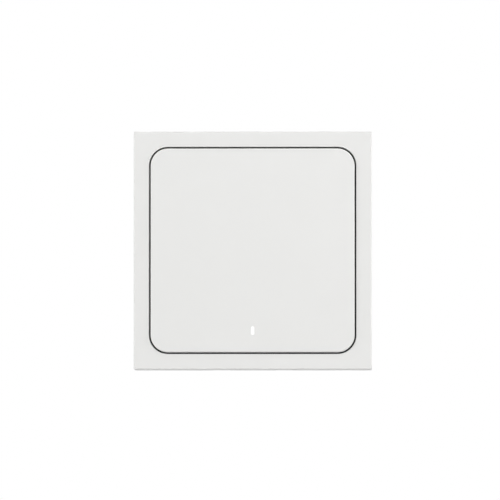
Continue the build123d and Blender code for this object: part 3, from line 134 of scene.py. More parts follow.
TRACK_THICKNESS = 0.04 * MM
BEND_PER_WIDTH = 1.5
FRONT_TRACKS = (
    ((4.9, -3.5), (9.0, -3.5), (12.4, -0.1), (12.4, 8.4)),
    ((4.9, -6.5), (11.0, -6.5), (17.0, -0.5), (17.0, 8.0)),
    ((-4.9, -3.5), (-9.0, -3.5), (-12.9, 0.4), (-12.9, 11.6)),
    ((-4.9, -6.5), (-10.0, -6.5), (-15.3, -1.2), (-15.3, 11.6)),
    ((-0.9, -24.6), (-0.9, -19.0), (-6.5, -13.4), (-14.5, -13.4), (-17.7, -10.2), (-17.7, 11.6)),
    ((0.9, -24.6), (0.9, -19.0), (6.9, -13.0), (18.5, -13.0), (21.5, -10.0), (21.5, 4.0)),
    ((-10.5, 13.7), (-10.5, 14.5)),
    ((-12.9, 13.7), (-12.9, 14.5)),
    ((-15.3, 13.7), (-15.3, 14.5)),
    ((-17.7, 13.7), (-17.7, 14.5)),
    ((-10.5, 11.6), (-8.0, 9.1), (8.0, 9.1), (10.0, 11.1), (12.9, 11.1)),
    ((-10.5, 16.6), (-8.2, 18.9), (11.0, 18.9), (15.1, 14.8)),
    ((-12.9, 16.6), (-9.3, 20.2), (14.0, 20.2), (18.5, 15.7), (18.5, 12.0)),
)
BACK_TRACKS = (
    ((-16.6, 9.3), (-14.6, 11.3), (-14.6, 15.0), (-10.0, 19.6), (11.0, 19.6), (15.5, 15.9)),
    ((-16.6, 6.9), (-15.4, 5.7), (-15.4, 1.0)),
    ((-21.7, 9.3), (-23.3, 10.9), (-23.3, 14.0), (-16.0, 21.3), (16.0, 21.3), (22.6, 15.9)),
    ((-21.7, 6.9), (-23.3, 5.3), (-23.3, -8.0), (-17.5, -13.8), (-17.5, -19.5)),
    ((15.2, 0.3), (15.2, -6.5), (8.0, -16.0), (-6.0, -16.0), (-9.5, -19.5), (-9.5, -22.0)),
    ((17.4, 0.3), (17.4, -7.3), (7.4, -17.3), (-4.0, -17.3), (-6.5, -19.8), (-6.5, -22.0)),
    ((19.6, 0.3), (19.6, -8.1), (9.1, -18.6), (-2.0, -18.6), (-3.5, -20.1), (-3.5, -22.0)),
    ((21.8, 0.3), (21.8, -8.9), (10.8, -19.9), (-0.5, -19.9), (-0.5, -22.0)),
)
ANTENNA_ARMS = 7
ANTENNA_PER_TRACK = 1.5
ANTENNA_SIDE_MARGIN = 1.1 * MM
ANTENNA_TOP_MARGIN = 0.7 * MM
ANTENNA_SHIELD_GAP = 0.5 * MM
ANTENNA_BEND_RISE = 0.6 * MM

# Screw threads and ejector marks

SCREW_HEAD_RADIUS = 2.0 * MM
SCREW_REACH = span("housing_screws").x / 2 - SCREW_HEAD_RADIUS
THREAD_RADIUS = 1.1 * MM
THREAD_PITCH = 0.7 * MM
THREAD_DEPTH = 0.22 * MM
THREAD_START_SHARE = 0.35
THREAD_END = 0.35 * MM
RECESS_REACH = 17.5 * MM
RECESS_DEPTH = 0.6 * MM
MARK_RADIUS = 2.6 * MM
MARK_RIM = 0.3 * MM

# Stage: each lamp has its name, place, width and power

AIM = Vector((0, USER_SIDE["frame"], 0))
LAMPS = (
    ("high_lamp", Vector((-0.05, -0.5, 0.8)), 0.5, 2.4),
    ("front_lamp", Vector((0.35, -1.5, 0.25)), 0.8, 9.8),
    ("right_lamp", Vector((1.3, -0.4, 0.1)), 0.9, 8.0),
    ("left_lamp", Vector((-1.75, -0.45, 0.2)), 0.9, 16.4),
    ("low_lamp", Vector((0.1, -0.2, -1.7)), 0.8, 6.4),
    ("rear_lamp", Vector((-0.6, 1.8, 0.9)), 1.0, 26.0),
)
WORLD_LIGHT = 0.2
FLOOR_DROP = 2.1
FLOOR_WIDTH = 12.0
FLOOR_MOTTLE = 0.3
FLOOR_SHADES = (0.78, 0.82)
SHADOW_SHADES = (0.3, 0.32)
FLOOR_GLOW = (0.72, 1.0)
FLOOR_GLOW_REACH = (0.4, 4.2)
SENSOR_WIDTH = 36.0
CLIP_END = 20.0

# How far to the right of the button's centre, and above it, the middle of the photograph is

CENTRE_ACROSS = -0.93 * MM
CENTRE_UP = 0.12 * MM


# Sizes and colours that a user would change

COLOUR = {"min": 0, "max": 1, "subtype": "COLOR"}
LENGTH = {"subtype": "DISTANCE", "unit": "LENGTH"}
ANGLE = {"subtype": "ANGLE", "unit": "ROTATION"}


class ButtonPlastics(bpy.types.PropertyGroup):
    """Moulded plastics."""

    white: bpy.props.FloatVectorProperty(
        name="White", description="Colour of the key and the frame", default=(0.800, 0.800, 0.786), **COLOUR
    )
    black: bpy.props.FloatVectorProperty(
        name="Black",
        description="Colour of the housing, chassis, carrier and holder",
        default=(0.021, 0.021, 0.023),
        **COLOUR,
    )
    grey: bpy.props.FloatVectorProperty(
        name="Grey",
        description="Colour of the wall plate and of the switches' plungers",
        default=(0.50, 0.51, 0.51),
        **COLOUR,
    )
    grain: bpy.props.FloatProperty(
        name="Grain",
        description="Size of the mould's eroded grain",
        default=0.16 * MM,
        min=0.02 * MM,
        max=2 * MM,
        **LENGTH,
    )
    gloss_white: bpy.props.FloatProperty(
        name="White roughness",
        description="Roughness of the white plastic",
        default=0.5,
        min=0,
        max=1,
        subtype="FACTOR",
    )


class ButtonLight(bpy.types.PropertyGroup):
    """Indicator light."""

    glow: bpy.props.FloatProperty(
        name="Glow", description="Strength of the light in the slot", default=0.26, min=0, max=10
    )
    tint: bpy.props.FloatVectorProperty(
        name="Tint", description="Colour of the light in the slot", default=(1.0, 1.0, 1.0), **COLOUR
    )


class ButtonMetals(bpy.types.PropertyGroup):
    """Bare and plated metals."""

    steel: bpy.props.FloatVectorProperty(
        name="Steel", description="Colour of pins and screws", default=(0.60, 0.59, 0.57), **COLOUR
    )
    nickel: bpy.props.FloatVectorProperty(
        name="Nickel",
        description="Colour of contacts, covers and shields",
        default=(0.66, 0.63, 0.57),
        **COLOUR,
    )
    copper: bpy.props.FloatVectorProperty(
        name="Copper", description="Colour of bare copper under flux", default=(0.72, 0.38, 0.20), **COLOUR
    )
    solder: bpy.props.FloatVectorProperty(
        name="Solder", description="Colour of the solder joints", default=(0.70, 0.70, 0.69), **COLOUR
    )


class ButtonBoards(bpy.types.PropertyGroup):
    """Circuit boards."""

    mask: bpy.props.FloatVectorProperty(
        name="Solder mask", description="Colour of the main board", default=(0.012, 0.105, 0.045), **COLOUR
    )
    radio_mask: bpy.props.FloatVectorProperty(
        name="Radio board mask",
        description="Colour of the radio board",
        default=(0.012, 0.045, 0.105),
        **COLOUR,
    )
    track_width: bpy.props.FloatProperty(
        name="Track width",
        description="Width of the printed tracks",
        default=0.3 * MM,
        min=0.1 * MM,
        max=1 * MM,
        **LENGTH,
    )


class ButtonStudio(bpy.types.PropertyGroup):
    """Camera and lamps."""

    field: bpy.props.FloatProperty(
        name="Field",
        description="Width of the picture at the button's face",
        default=176.55 * MM,
        min=50 * MM,
        max=2,
        **LENGTH,
    )
    distance: bpy.props.FloatProperty(
        name="Distance", description="From the camera to the button", default=3.0, min=0.3, max=10, **LENGTH
    )
    across: bpy.props.FloatProperty(
        name="Angle across",
        description="How far the camera stands to the right of the button's axis",
        default=math.radians(0.7),
        **ANGLE,
    )
    below: bpy.props.FloatProperty(
        name="Angle below",
        description="How far the camera stands below the button's axis",
        default=math.radians(2.7),
        **ANGLE,
    )


# Small helpers for nodes


def feed(socket, given):
    """Link an input to another socket, or set it to a value."""
    if isinstance(given, bpy.types.NodeSocket):
        socket.id_data.links.new(given, socket)
    else:
        socket.default_value = given


def fill(node, **inputs):
    """Feed inputs of a node by their names, in which a space is written as _."""
    for label, given in inputs.items():
        feed(node.inputs[label.replace("_", " ")], given)


def step(tree, kind, mode=None, **inputs):
    """New node of a kind, with its mode set before its inputs are filled."""
    node = tree.nodes.new(kind)
    if mode:
        node.mode = mode
    fill(node, **inputs)
    return node


def made(tree, kind, mode=None, **inputs):
    """First output of a new node, which is what most nodes are there for."""
    return step(tree, kind, mode, **inputs).outputs[0]


def noise(tree, place, size, detail=3.0, stretch=(1, 1, 1)):
    """Noise whose features are about `size` metres, stretched along the axes; returns its factor socket."""
    scale = [1 / (size * share) for share in stretch]
    mapped = made(tree, "ShaderNodeMapping", Vector=place, Scale=scale)
    return made(tree, "ShaderNodeTexNoise", Vector=mapped, Scale=1.0, Detail=detail)


def spread(tree, value, low, high, start=0.3, stop=0.7):
    """Value between start and stop mapped on low to high, and held there outside them."""
    limits = {"From_Min": start, "From_Max": stop, "To_Min": low, "To_Max": high}
    return made(tree, "ShaderNodeMapRange", Value=value, **limits)


def sums(tree, operation, *values):
    """Math node on sockets or plain numbers."""
    node = tree.nodes.new("ShaderNodeMath")
    node.operation = operation
    for socket, given in zip(node.inputs, values):
        feed(socket, given)
    return node.outputs["Value"]


def product(tree, first, *others):
    """Sockets or plain numbers multiplied together."""
    for other in others:
        first = sums(tree, "MULTIPLY", first, other)
    return first


def distance(tree, first, second):
    """Root of the sum of two squares."""
    squares = (product(tree, first, first), product(tree, second, second))
    return sums(tree, "SQRT", sums(tree, "ADD", *squares))


def off_middle(tree, along, centre):
    """How far a coordinate is from a centre, on either side."""
    return sums(tree, "ABSOLUTE", sums(tree, "SUBTRACT", along, centre))


def ripples(tree, along, pitch):
    """Wave from -1 to 1 and back in each pitch."""
    return sums(tree, "SINE", product(tree, along, TAU / pitch))


def parts_of(tree, place):
    """The X, Y and Z sockets of a place."""
    return step(tree, "ShaderNodeSeparateXYZ", Vector=place).outputs


def opaque(colour):
    """A plain colour with full alpha, or a colour socket as it is."""
    return colour if isinstance(colour, bpy.types.NodeSocket) else (*colour, 1)


def blend(tree, share, below, above):
    """Colour between two colours or sockets by a 0 to 1 value."""
    mix = tree.nodes.new("ShaderNodeMix")
    mix.data_type = "RGBA"
    fill(mix, Factor=share, A=opaque(below), B=opaque(above))
    return mix.outputs["Result"]


def tinted(colour, share):
    """A colour made lighter or darker by a share."""
    return tuple(min(1.0, channel * share) for channel in colour)


def clouded(tree, value, colour, low, high, start=0.3, stop=0.7):
    """A colour tinted by one share where a value is at its start, and by another at its stop."""
    share = spread(tree, value, 0, 1, start, stop)
    return blend(tree, share, tinted(colour, low), tinted(colour, high))


def new_material(name):
    """Node material; returns it, its tree, its Principled shader and the point's place in the piece."""
    material = bpy.data.materials.new(name)
    material.use_nodes = True
    tree = material.node_tree
    tree.nodes.clear()
    shader = tree.nodes.new("ShaderNodeBsdfPrincipled")
    step(tree, "ShaderNodeOutputMaterial", Surface=shader.outputs["BSDF"])
    return material, tree, shader, tree.nodes.new("ShaderNodeTexCoord").outputs["Object"]


def fill_with_bump(shader, height, depth, **inputs):
    """Fill a shader's inputs, and give it a bump of the given depth in metres."""
    bumped = made(shader.id_data, "ShaderNodeBump", Strength=1.0, Distance=depth, Height=height)
    fill(shader, Normal=bumped, **inputs)


def dress(names, material):
    """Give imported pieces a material."""
    for name in names:
        slots = nodes[name].data.materials
        slots.clear()
        slots.append(material)


def mesh_piece(name, mesh, material, body):
    """Object at the origin that carries a mesh with its place in it, riding on a body."""
    mesh.materials.clear()
    mesh.materials.append(material)
    piece = bpy.data.objects.new(name, mesh)
    bpy.context.scene.collection.objects.link(piece)
    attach(piece, body)
    return piece


# Finishes

PLASTIC_IOR = 1.49
LAMINATE = (0.42, 0.36, 0.16)


def moulded_plastic(name, colour, grain, rough, play, depth, mottle):
    """Moulded plastic: eroded grain, slow flow mottle in colour, and uneven gloss."""
    material, tree, shader, place = new_material(name)
    flow_size, patch_size, pit_share = 14 * MM, 6 * MM, 0.35
    grains = noise(tree, place, grain, detail=2)
    flow = noise(tree, place, flow_size, detail=2)
    base = clouded(tree, flow, colour, 1 - mottle, 1 + mottle)
    pits = product(tree, spread(tree, grains, 0, 1, start=0.35, stop=0.65), pit_share)
    patches = noise(tree, place, patch_size)
    fill_with_bump(
        shader,
        height=grains,
        depth=depth,
        Base_Color=blend(tree, pits, base, tinted(colour, 1 - 2 * mottle)),
        Roughness=spread(tree, patches, rough - play, rough + play),
        IOR=PLASTIC_IOR,
    )
    return material


def lit_guide(name, glow, tint):
    """Clear guide filled with light: a little weaker towards its ends and towards its tail."""
    material, tree, shader, place = new_material(name)
    cloud_size, end_level, tail_level = 0.7 * MM, 0.9, 0.55
    full_height, end_height = 0.8 * MM, 1.6 * MM
    low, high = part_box("light_guide")
    parts = parts_of(tree, place)
    height = off_middle(tree, parts["Z"], middle("light_guide").z)
    ends = spread(tree, height, 1, end_level, full_height, end_height)
    tail = spread(tree, parts["Y"], 1, tail_level, low.y, high.y)
    cloud = spread(tree, noise(tree, place, cloud_size, detail=2), 0.97, 1)
    fill(
        shader,
        Base_Color=blend(tree, cloud, (0.86, 0.86, 0.85), (0.93, 0.93, 0.92)),
        Roughness=0.22,
        IOR=PLASTIC_IOR,
        Transmission_Weight=0.25,
        Emission_Color=opaque(tint),
        Emission_Strength=product(tree, ends, tail, cloud, glow),
    )
    return material


def drawn_metal(name, colour, rough, axis):
    """Drawn or turned metal with fine lines along one axis and a faint tarnish."""
    material, tree, shader, place = new_material(name)
    line_size, tarnish_size, line_stretch = 0.08 * MM, 2.5 * MM, 40
    stretch = [line_stretch if way == axis else 1 for way in range(3)]
    lines = noise(tree, place, line_size, detail=2, stretch=stretch)
    tarnish = noise(tree, place, tarnish_size)
    fill_with_bump(
        shader,
        height=lines,
        depth=0.004 * MM,
        Base_Color=clouded(tree, tarnish, colour, 0.84, 1.06),
        Metallic=1.0,
        Roughness=spread(tree, lines, rough - 0.08, rough + 0.1),
    )
    return material


def plated_sheet(name, colour, rough):
    """Plated sheet metal: soft rolling lines, handling marks and a warm tarnish at the edges of spots."""
    material, tree, shader, place = new_material(name)
    line_size, spot_size, line_stretch = 0.12 * MM, 1.8 * MM, (30, 30, 1)
    rolled = noise(tree, place, line_size, detail=2, stretch=line_stretch)
    spots = noise(tree, place, spot_size, detail=4)
    fill_with_bump(
        shader,
        height=rolled,
        depth=0.003 * MM,
        Base_Color=clouded(tree, spots, colour, 1, 0.78, start=0.42, stop=0.68),
        Metallic=1.0,
        Roughness=spread(tree, rolled, rough - 0.06, rough + 0.12),
    )
    return material


def cell_can(name, colour):
    """Coin cell: rings left by spinning, with small scuffs from handling."""
    material, tree, shader, place = new_material(name)
    ring_pitch, scuff_size, scuff_stretch = 0.22 * MM, 0.9 * MM, (4, 1, 1)
    parts = parts_of(tree, place)
    rings = ripples(tree, distance(tree, parts["X"], parts["Z"]), ring_pitch)
    marks = noise(tree, place, scuff_size, detail=5, stretch=scuff_stretch)
    scuffs = spread(tree, marks, 0, 1, start=0.56, stop=0.68)
    spun = clouded(tree, rings, colour, 0.94, 1, start=-1, stop=1)
    fill_with_bump(
        shader,
        height=rings,
        depth=0.002 * MM,
        Base_Color=blend(tree, scuffs, spun, tinted(colour, 0.7)),
        Metallic=1.0,
        Roughness=spread(tree, scuffs, 0.3, 0.5, start=0, stop=1),
    )
    return material


def circuit_mask(name, colour, node):
    """Solder mask over glass cloth: a faint weave, and bare laminate at the board's edges."""
    material, tree, shader, place = new_material(name)
    weave_pitch, cure_size = 0.5 * MM, 7 * MM
    mask_share, laminate_share = 0.47, 0.42
    parts = parts_of(tree, place)
    weave = product(tree, ripples(tree, parts["X"], weave_pitch), ripples(tree, parts["Z"], weave_pitch))
    mask = clouded(tree, noise(tree, place, cure_size), colour, 0.92, 1.12)
    thick = span(node).y
    depth = off_middle(tree, parts["Y"], middle(node).y)
    edge = spread(tree, depth, 1, 0, laminate_share * thick, mask_share * thick)
    fill_with_bump(
        shader,
        height=weave,
        depth=0.004 * MM,
        Base_Color=blend(tree, edge, mask, LAMINATE),
        Roughness=spread(tree, weave, 0.26, 0.36, start=-1, stop=1),
        Coat_Weight=0.3,
        Coat_Roughness=0.15,
    )
    return material


def silicone(name, colour):
    """Soft silicone or rubber: matt, dusty and with a faint sheen."""
    material, tree, shader, place = new_material(name)
    dust_size = 0.35 * MM
    dust = noise(tree, place, dust_size, detail=4)
    fill_with_bump(
        shader,
        height=dust,
        depth=0.008 * MM,
        Base_Color=clouded(tree, dust, colour, 1, 1.25, start=0.4, stop=0.7),
        Roughness=spread(tree, dust, 0.62, 0.8),
        Sheen_Weight=0.15,
    )
    return material


def chip_capacitors(name, body, cap):
    """Ceramic chips with plated ends: the ends are the outer fifths of each chip's length."""
    material, tree, shader, place = new_material(name)
    fired_size, body_share, cap_share = 0.2 * MM, 0.28, 0.3
    low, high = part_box("capacitors")
    length = high.z - low.z - CAPACITOR_PITCH
    height = sums(tree, "SUBTRACT", parts_of(tree, place)["Z"], low.z)
    within = off_middle(tree, sums(tree, "MODULO", height, CAPACITOR_PITCH), length / 2)
    plated = spread(tree, within, 0, 1, body_share * length, cap_share * length)
    fired = noise(tree, place, fired_size)
    fill_with_bump(
        shader,
        height=fired,
        depth=0.004 * MM,
        Base_Color=blend(tree, plated, clouded(tree, fired, body, 0.85, 1.1), cap),
        Metallic=plated,
        Roughness=spread(tree, fired, 0.35, 0.5),
    )
    return material


def lamp_chip(name, case, resin):
    """Indicator lamp: white case below, cast resin above."""
    material, tree, shader, place = new_material(name)
    cast_size, resin_share, soft_edge = 0.1 * MM, 0.37, 0.01 * MM
    low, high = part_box("indicator_led")
    seam = low.y + resin_share * (high.y - low.y)
    is_case = spread(tree, parts_of(tree, place)["Y"], 0, 1, seam - soft_edge, seam + soft_edge)
    cast = clouded(tree, noise(tree, place, cast_size, detail=2), resin, 0.92, 1)
    fill(
        shader,
        Base_Color=blend(tree, is_case, cast, case),
        Roughness=spread(tree, is_case, 0.2, 0.5, start=0, stop=1),
        Emission_Color=(1.0, 0.96, 0.86, 1),
        Emission_Strength=spread(tree, is_case, 0.6, 0, start=0, stop=1),
    )
    return material


def covered_track(name, colour):
    """Copper under solder mask: the mask's colour, lighter, with a soft rise and fall in gloss."""
    material, tree, shader, place = new_material(name)
    etched_size = 0.4 * MM
    etched = noise(tree, place, etched_size)
    fill_with_bump(
        shader,
        height=etched,
        depth=0.003 * MM,
        Base_Color=clouded(tree, etched, colour, 2.4, 3.0),
        Roughness=spread(tree, etched, 0.24, 0.36),
        Coat_Weight=0.3,
    )
    return material


# Geometry Nodes: short trees that repeat a shape or follow a path


def rule_tree(name, *sizes):
    """Tree with a geometry input and a named input for each size; returns it with its input and output."""
    tree = bpy.data.node_groups.new(name, "GeometryNodeTree")
    tree.interface.new_socket("Geometry", in_out="INPUT", socket_type="NodeSocketGeometry")
    tree.interface.new_socket("Geometry", in_out="OUTPUT", socket_type="NodeSocketGeometry")
    for label in sizes:
        tree.interface.new_socket(label, in_out="INPUT", socket_type="NodeSocketFloat")
    return tree, tree.nodes.new("NodeGroupInput").outputs, tree.nodes.new("NodeGroupOutput")


def end_tree(tree, geometry, output, material):
    """Close a tree: instances made real, then the material."""
    real = made(tree, "GeometryNodeRealizeInstances", Geometry=geometry)
    fill(output, Geometry=made(tree, "GeometryNodeSetMaterial", Geometry=real, Material=material))


def grown(name, base, tree, sizes):
    """Plain mesh that a tree makes from a base mesh with the given sizes."""
    carrier = bpy.data.objects.new(name, base)
    modifier = carrier.modifiers.new(name, "NODES")
    modifier.node_group = tree
    for item in tree.interface.items_tree:
        if item.in_out == "INPUT" and item.name in sizes:
            modifier[item.identifier] = sizes[item.name]
    bpy.context.scene.collection.objects.link(carrier)
    graph = bpy.context.evaluated_depsgraph_get()
    mesh = bpy.data.meshes.new_from_object(carrier.evaluated_get(graph))
    mesh.name = name
    carrier.modifiers.clear()
    bpy.data.objects.remove(carrier)
    return mesh


def spots_mesh(name, spots):
    """Loose points, each with the reach and the turn of what a tree puts there."""
    mesh = bpy.data.meshes.new(name)
    mesh.from_pydata([spot[0] for spot in spots], [], [])
    for label, column in (("reach", 1), ("turn", 2)):
        layer = mesh.attributes.new(label, "FLOAT_VECTOR", "POINT")
        for item, spot in zip(layer.data, spots):
            item.vector = spot[column]
    return mesh


def paths_mesh(name, paths):
    """Open paths of straight edges, drawn flat with x across and y up."""
    places, edges = [], []
    for path in paths:
        first = len(places)
        places += [(across, up, 0) for across, up in path]
        edges += [(at, at + 1) for at in range(first, len(places) - 1)]
    mesh = bpy.data.meshes.new(name)
    mesh.from_pydata(places, edges, [])
    return mesh


def at_spots(tree, points, instance):
    """Instances of a shape on points, turned and scaled by the points' own values."""
    values = {}
    for label in ("turn", "reach"):
        named = step(tree, "GeometryNodeInputNamedAttribute", Name=label)
        named.data_type = "FLOAT_VECTOR"
        values[label] = named.outputs["Attribute"]
    dots = made(tree, "GeometryNodeMeshToPoints", Mesh=points)
    pose = {"Rotation": values["turn"], "Scale": values["reach"]}
    return made(tree, "GeometryNodeInstanceOnPoints", Points=dots, Instance=instance, **pose)


def moved(tree, geometry, **places):
    """Geometry whose points go to the given X, Y and Z."""
    place = made(tree, "ShaderNodeCombineXYZ", **places)
    return made(tree, "GeometryNodeSetPosition", Geometry=geometry, Position=place)


def swept(tree, curve, profile):
    """Closed solid of a profile swept along a curve, kept upright."""
    level = made(tree, "GeometryNodeSetCurveNormal", "Z_UP", Curve=curve)
    return made(tree, "GeometryNodeCurveToMesh", Curve=level, Profile_Curve=profile, Fill_Caps=True)


def circle(tree, radius, steps):
    """Flat circle about z."""
    return made(tree, "GeometryNodeCurvePrimitiveCircle", Resolution=steps, Radius=radius)


def rectangle(tree, width, height):
    """Flat rectangle about z."""
    return made(tree, "GeometryNodeCurvePrimitiveQuadrilateral", Width=width, Height=height)


def helix(tree, radius, turns, height, steps):
    """Helix about z that starts at its foot, with the given steps in each turn."""
    sizes = {"Start_Radius": radius, "End_Radius": radius, "Height": height}
    return made(tree, "GeometryNodeCurveSpiral", Resolution=steps, Rotations=turns, **sizes)


def ring_of(tree, radius, width, height, steps):
    """Flat ring about z: a circle swept by a rectangle."""
    path, profile = circle(tree, radius, steps), rectangle(tree, width, height)
    return made(tree, "GeometryNodeCurveToMesh", Curve=path, Profile_Curve=profile)


def fillet_tree(material):
    """Solder fillets: a unit stub drawn in to a waist by the square of its height."""
    tree, given, output = rule_tree("solder_fillets", "Waist")
    radii = {"Radius_Top": 1.0, "Radius_Bottom": 1.0}
    stub = made(tree, "GeometryNodeMeshCone", Vertices=10, Side_Segments=4, Depth=1.0, **radii)
    parts = parts_of(tree, made(tree, "GeometryNodeInputPosition"))
    left = sums(tree, "SUBTRACT", 1.0, parts["Z"])
    flare = product(tree, left, left, sums(tree, "SUBTRACT", 1.0, given["Waist"]))
    width = sums(tree, "ADD", flare, given["Waist"])
    across, along = product(tree, parts["X"], width), product(tree, parts["Y"], width)
    drawn = moved(tree, stub, X=across, Y=along, Z=parts["Z"])
    smooth = made(tree, "GeometryNodeSetShadeSmooth", Geometry=drawn)
    end_tree(tree, at_spots(tree, given["Geometry"], smooth), output, material)
    return tree


def track_tree(name, material, pads):
    """Printed tracks along flat paths, with rounded bends and, where asked, a ring at each end."""
    tree, given, output = rule_tree(name, "Width", "Thickness", "Bend", "Face")
    lines = made(tree, "GeometryNodeMeshToCurve", Mesh=given["Geometry"])
    bends = {"Radius": given["Bend"], "Limit_Radius": True, "Count": 2}
    bent = made(tree, "GeometryNodeFilletCurve", "POLY", Curve=lines, **bends)
    strips = swept(tree, bent, rectangle(tree, given["Width"], given["Thickness"]))
    joined = step(tree, "GeometryNodeJoinGeometry", Geometry=strips)
    if pads:
        ends = made(tree, "GeometryNodeCurveEndpointSelection")
        ring = ring_of(tree, given["Width"], given["Width"], given["Thickness"], steps=10)
        rings = made(tree, "GeometryNodeInstanceOnPoints", Points=lines, Selection=ends, Instance=ring)
        fill(joined, Geometry=rings)
    pose = {"Translation": made(tree, "ShaderNodeCombineXYZ", Y=given["Face"]), "Rotation": TO_USER}
    upright = made(tree, "GeometryNodeTransform", Geometry=joined.outputs["Geometry"], **pose)
    end_tree(tree, upright, output, material)
    return tree


def thread_tree(material):
    """Screw threads: a helix swept by a triangle, on each point."""
    tree, given, output = rule_tree("screw_threads", "Radius", "Pitch", "Length", "Depth")
    turns = sums(tree, "DIVIDE", given["Length"], given["Pitch"])
    line = helix(tree, given["Radius"], turns, given["Length"], steps=12)
    ridge = swept(tree, line, circle(tree, given["Depth"], steps=3))
    end_tree(tree, at_spots(tree, given["Geometry"], ridge), output, material)
    return tree


def spring_tree(material):
    """Compression spring: a wire wound on a helix whose turns close up towards both ends."""
    tree, given, output = rule_tree("return_spring", "Radius", "Wire", "Turns", "Length", "Closing")
    rise = sums(tree, "SUBTRACT", given["Length"], given["Wire"])
    line = helix(tree, given["Radius"], given["Turns"], height=1.0, steps=24)
    parts = parts_of(tree, made(tree, "GeometryNodeInputPosition"))
    wave = ripples(tree, parts["Z"], 1.0)
    ease = product(tree, sums(tree, "DIVIDE", given["Closing"], TAU), wave)
    height = product(tree, sums(tree, "SUBTRACT", parts["Z"], ease), rise)
    half_wire = sums(tree, "DIVIDE", given["Wire"], 2.0)
    wound = moved(tree, line, X=parts["X"], Y=parts["Y"], Z=sums(tree, "ADD", height, half_wire))
    wire = swept(tree, wound, circle(tree, half_wire, steps=10))
    smooth = made(tree, "GeometryNodeSetShadeSmooth", Geometry=wire)
    end_tree(tree, at_spots(tree, given["Geometry"], smooth), output, material)
    return tree


def mark_tree(material):
    """Low rings that ejector pins leave in moulded plastic."""
    tree, given, output = rule_tree("ejector_marks", "Radius", "Rim", "Rise")
    ring = ring_of(tree, given["Radius"], given["Rim"], given["Rise"], steps=32)
    end_tree(tree, at_spots(tree, given["Geometry"], ring), output, material)
    return tree


# Shapes of the small fittings


def turned_mesh(name, centre, profile, steps=32):
    """Closed mesh turned about a line along Y; the profile of (radius, y) starts on that line, at the end
    nearer the wall, and comes back to it."""
    inner = profile[1:-1]
    places = [(centre.x, profile[0][1], centre.z), (centre.x, profile[-1][1], centre.z)]
    for turn in range(steps):
        angle = TAU * turn / steps
        across, up = math.cos(angle), math.sin(angle)
        places += [(centre.x + radius * across, y, centre.z + radius * up) for radius, y in inner]
    faces = []
    for turn in range(steps):
        here = 2 + turn * len(inner)
        there = 2 + (turn + 1) % steps * len(inner)
        faces.append((0, there, here))
        faces += [(here + at, there + at, there + at + 1, here + at + 1) for at in range(len(inner) - 1)]
        faces.append((1, here + len(inner) - 1, there + len(inner) - 1))
    mesh = bpy.data.meshes.new(name)
    mesh.from_pydata(places, [], faces)
    mesh.polygons.foreach_set("use_smooth", [True] * len(mesh.polygons))
    return mesh


def rubber_profile(node):
    """Half section of the rubber dome: its inner side from the crown to the rim, and its outer side back."""
    base, top, foot = span(node).x / 2, USER_SIDE[node], WALL_SIDE[node]
    crown, wall, lip = RUBBER_CROWN_SHARE * base, RUBBER_WALL, RUBBER_LIP
    inner = [
        (0, top + wall),
        (crown - wall - lip, top + wall),
        (crown - wall, top + wall + lip),
        (base - wall - lip, foot - lip),
        (base - wall, foot),
        (base, foot),
    ]
    outer = [
        (base, foot - 0.5 * lip),
        (base - 0.3 * lip, foot - 1.2 * lip),
        (base - 1.2 * lip, foot - 2.2 * lip),
        (crown + 0.3 * lip, top + lip),
        (crown - 0.3 * lip, top + 0.3 * lip),
        (crown - lip, top),
        (0, top),
    ]
    return inner + outer


def snap_profile(node):
    """Half section of the snap dome: two arcs about one centre, a sheet's thickness apart."""
    radius, rise = span(node).x / 2, span(node).y
    shell = (radius * radius + rise * rise) / (2 * rise)
    centre = WALL_SIDE[node] - shell
    angles = [math.asin(radius / shell) * ring / SNAP_RINGS for ring in range(SNAP_RINGS + 1)]
    near_wall, near_user = (
        [(reach * math.sin(angle), centre + reach * math.cos(angle)) for angle in angles]
        for reach in (shell, shell - SNAP_SHEET)
    )
    return near_wall + near_user[::-1]


def soft_piece(name, mesh, material, node):
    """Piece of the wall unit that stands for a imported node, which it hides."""
    piece = mesh_piece(name, mesh, material, "wall_unit")
    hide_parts(node)
    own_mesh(piece)


def corner_joints(node, face, inset, reach, turn):
    """Solder joints at the left and right sides of a small part, near its lower and upper ends."""
    low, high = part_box(node)
    heights = (low.z + inset, high.z - inset)
    return [((across, face, up), reach, turn) for across in (low.x, high.x) for up in heights]


def solder_spots():
    """Place, reach and turn of each solder joint on the main board."""
    back, front = WALL_SIDE["pcb"], USER_SIDE["pcb"]
    spots = []
    low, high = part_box("radio_board")
    for across in (low.x, high.x):
        for pad in range(RADIO_PADS):
            up = middle("radio_board").z + (pad - (RADIO_PADS - 1) / 2) * RADIO_PAD_PITCH
            spots.append(((across, back, up), RADIO_JOINT, TO_WALL))
    spots += corner_joints("switch_terminals", front, SWITCH_INSET, SWITCH_JOINT, TO_USER)
    centre = middle("capacitors")
    for column in range(CAPACITOR_ROW):
        across = centre.x + (column - (CAPACITOR_ROW - 1) / 2) * CAPACITOR_PITCH
        for row in (-CAPACITOR_PITCH / 2, CAPACITOR_PITCH / 2):
            for end in (-CAPACITOR_END, CAPACITOR_END):
                spots.append(((across, front, centre.z + row + end), CAPACITOR_JOINT, TO_USER))
    spots += corner_joints("crystal", front, CRYSTAL_INSET, CRYSTAL_JOINT, TO_USER)
    spots += corner_joints("pair_switch_base", back, PAIR_INSET, PAIR_JOINT, TO_WALL)
    return spots


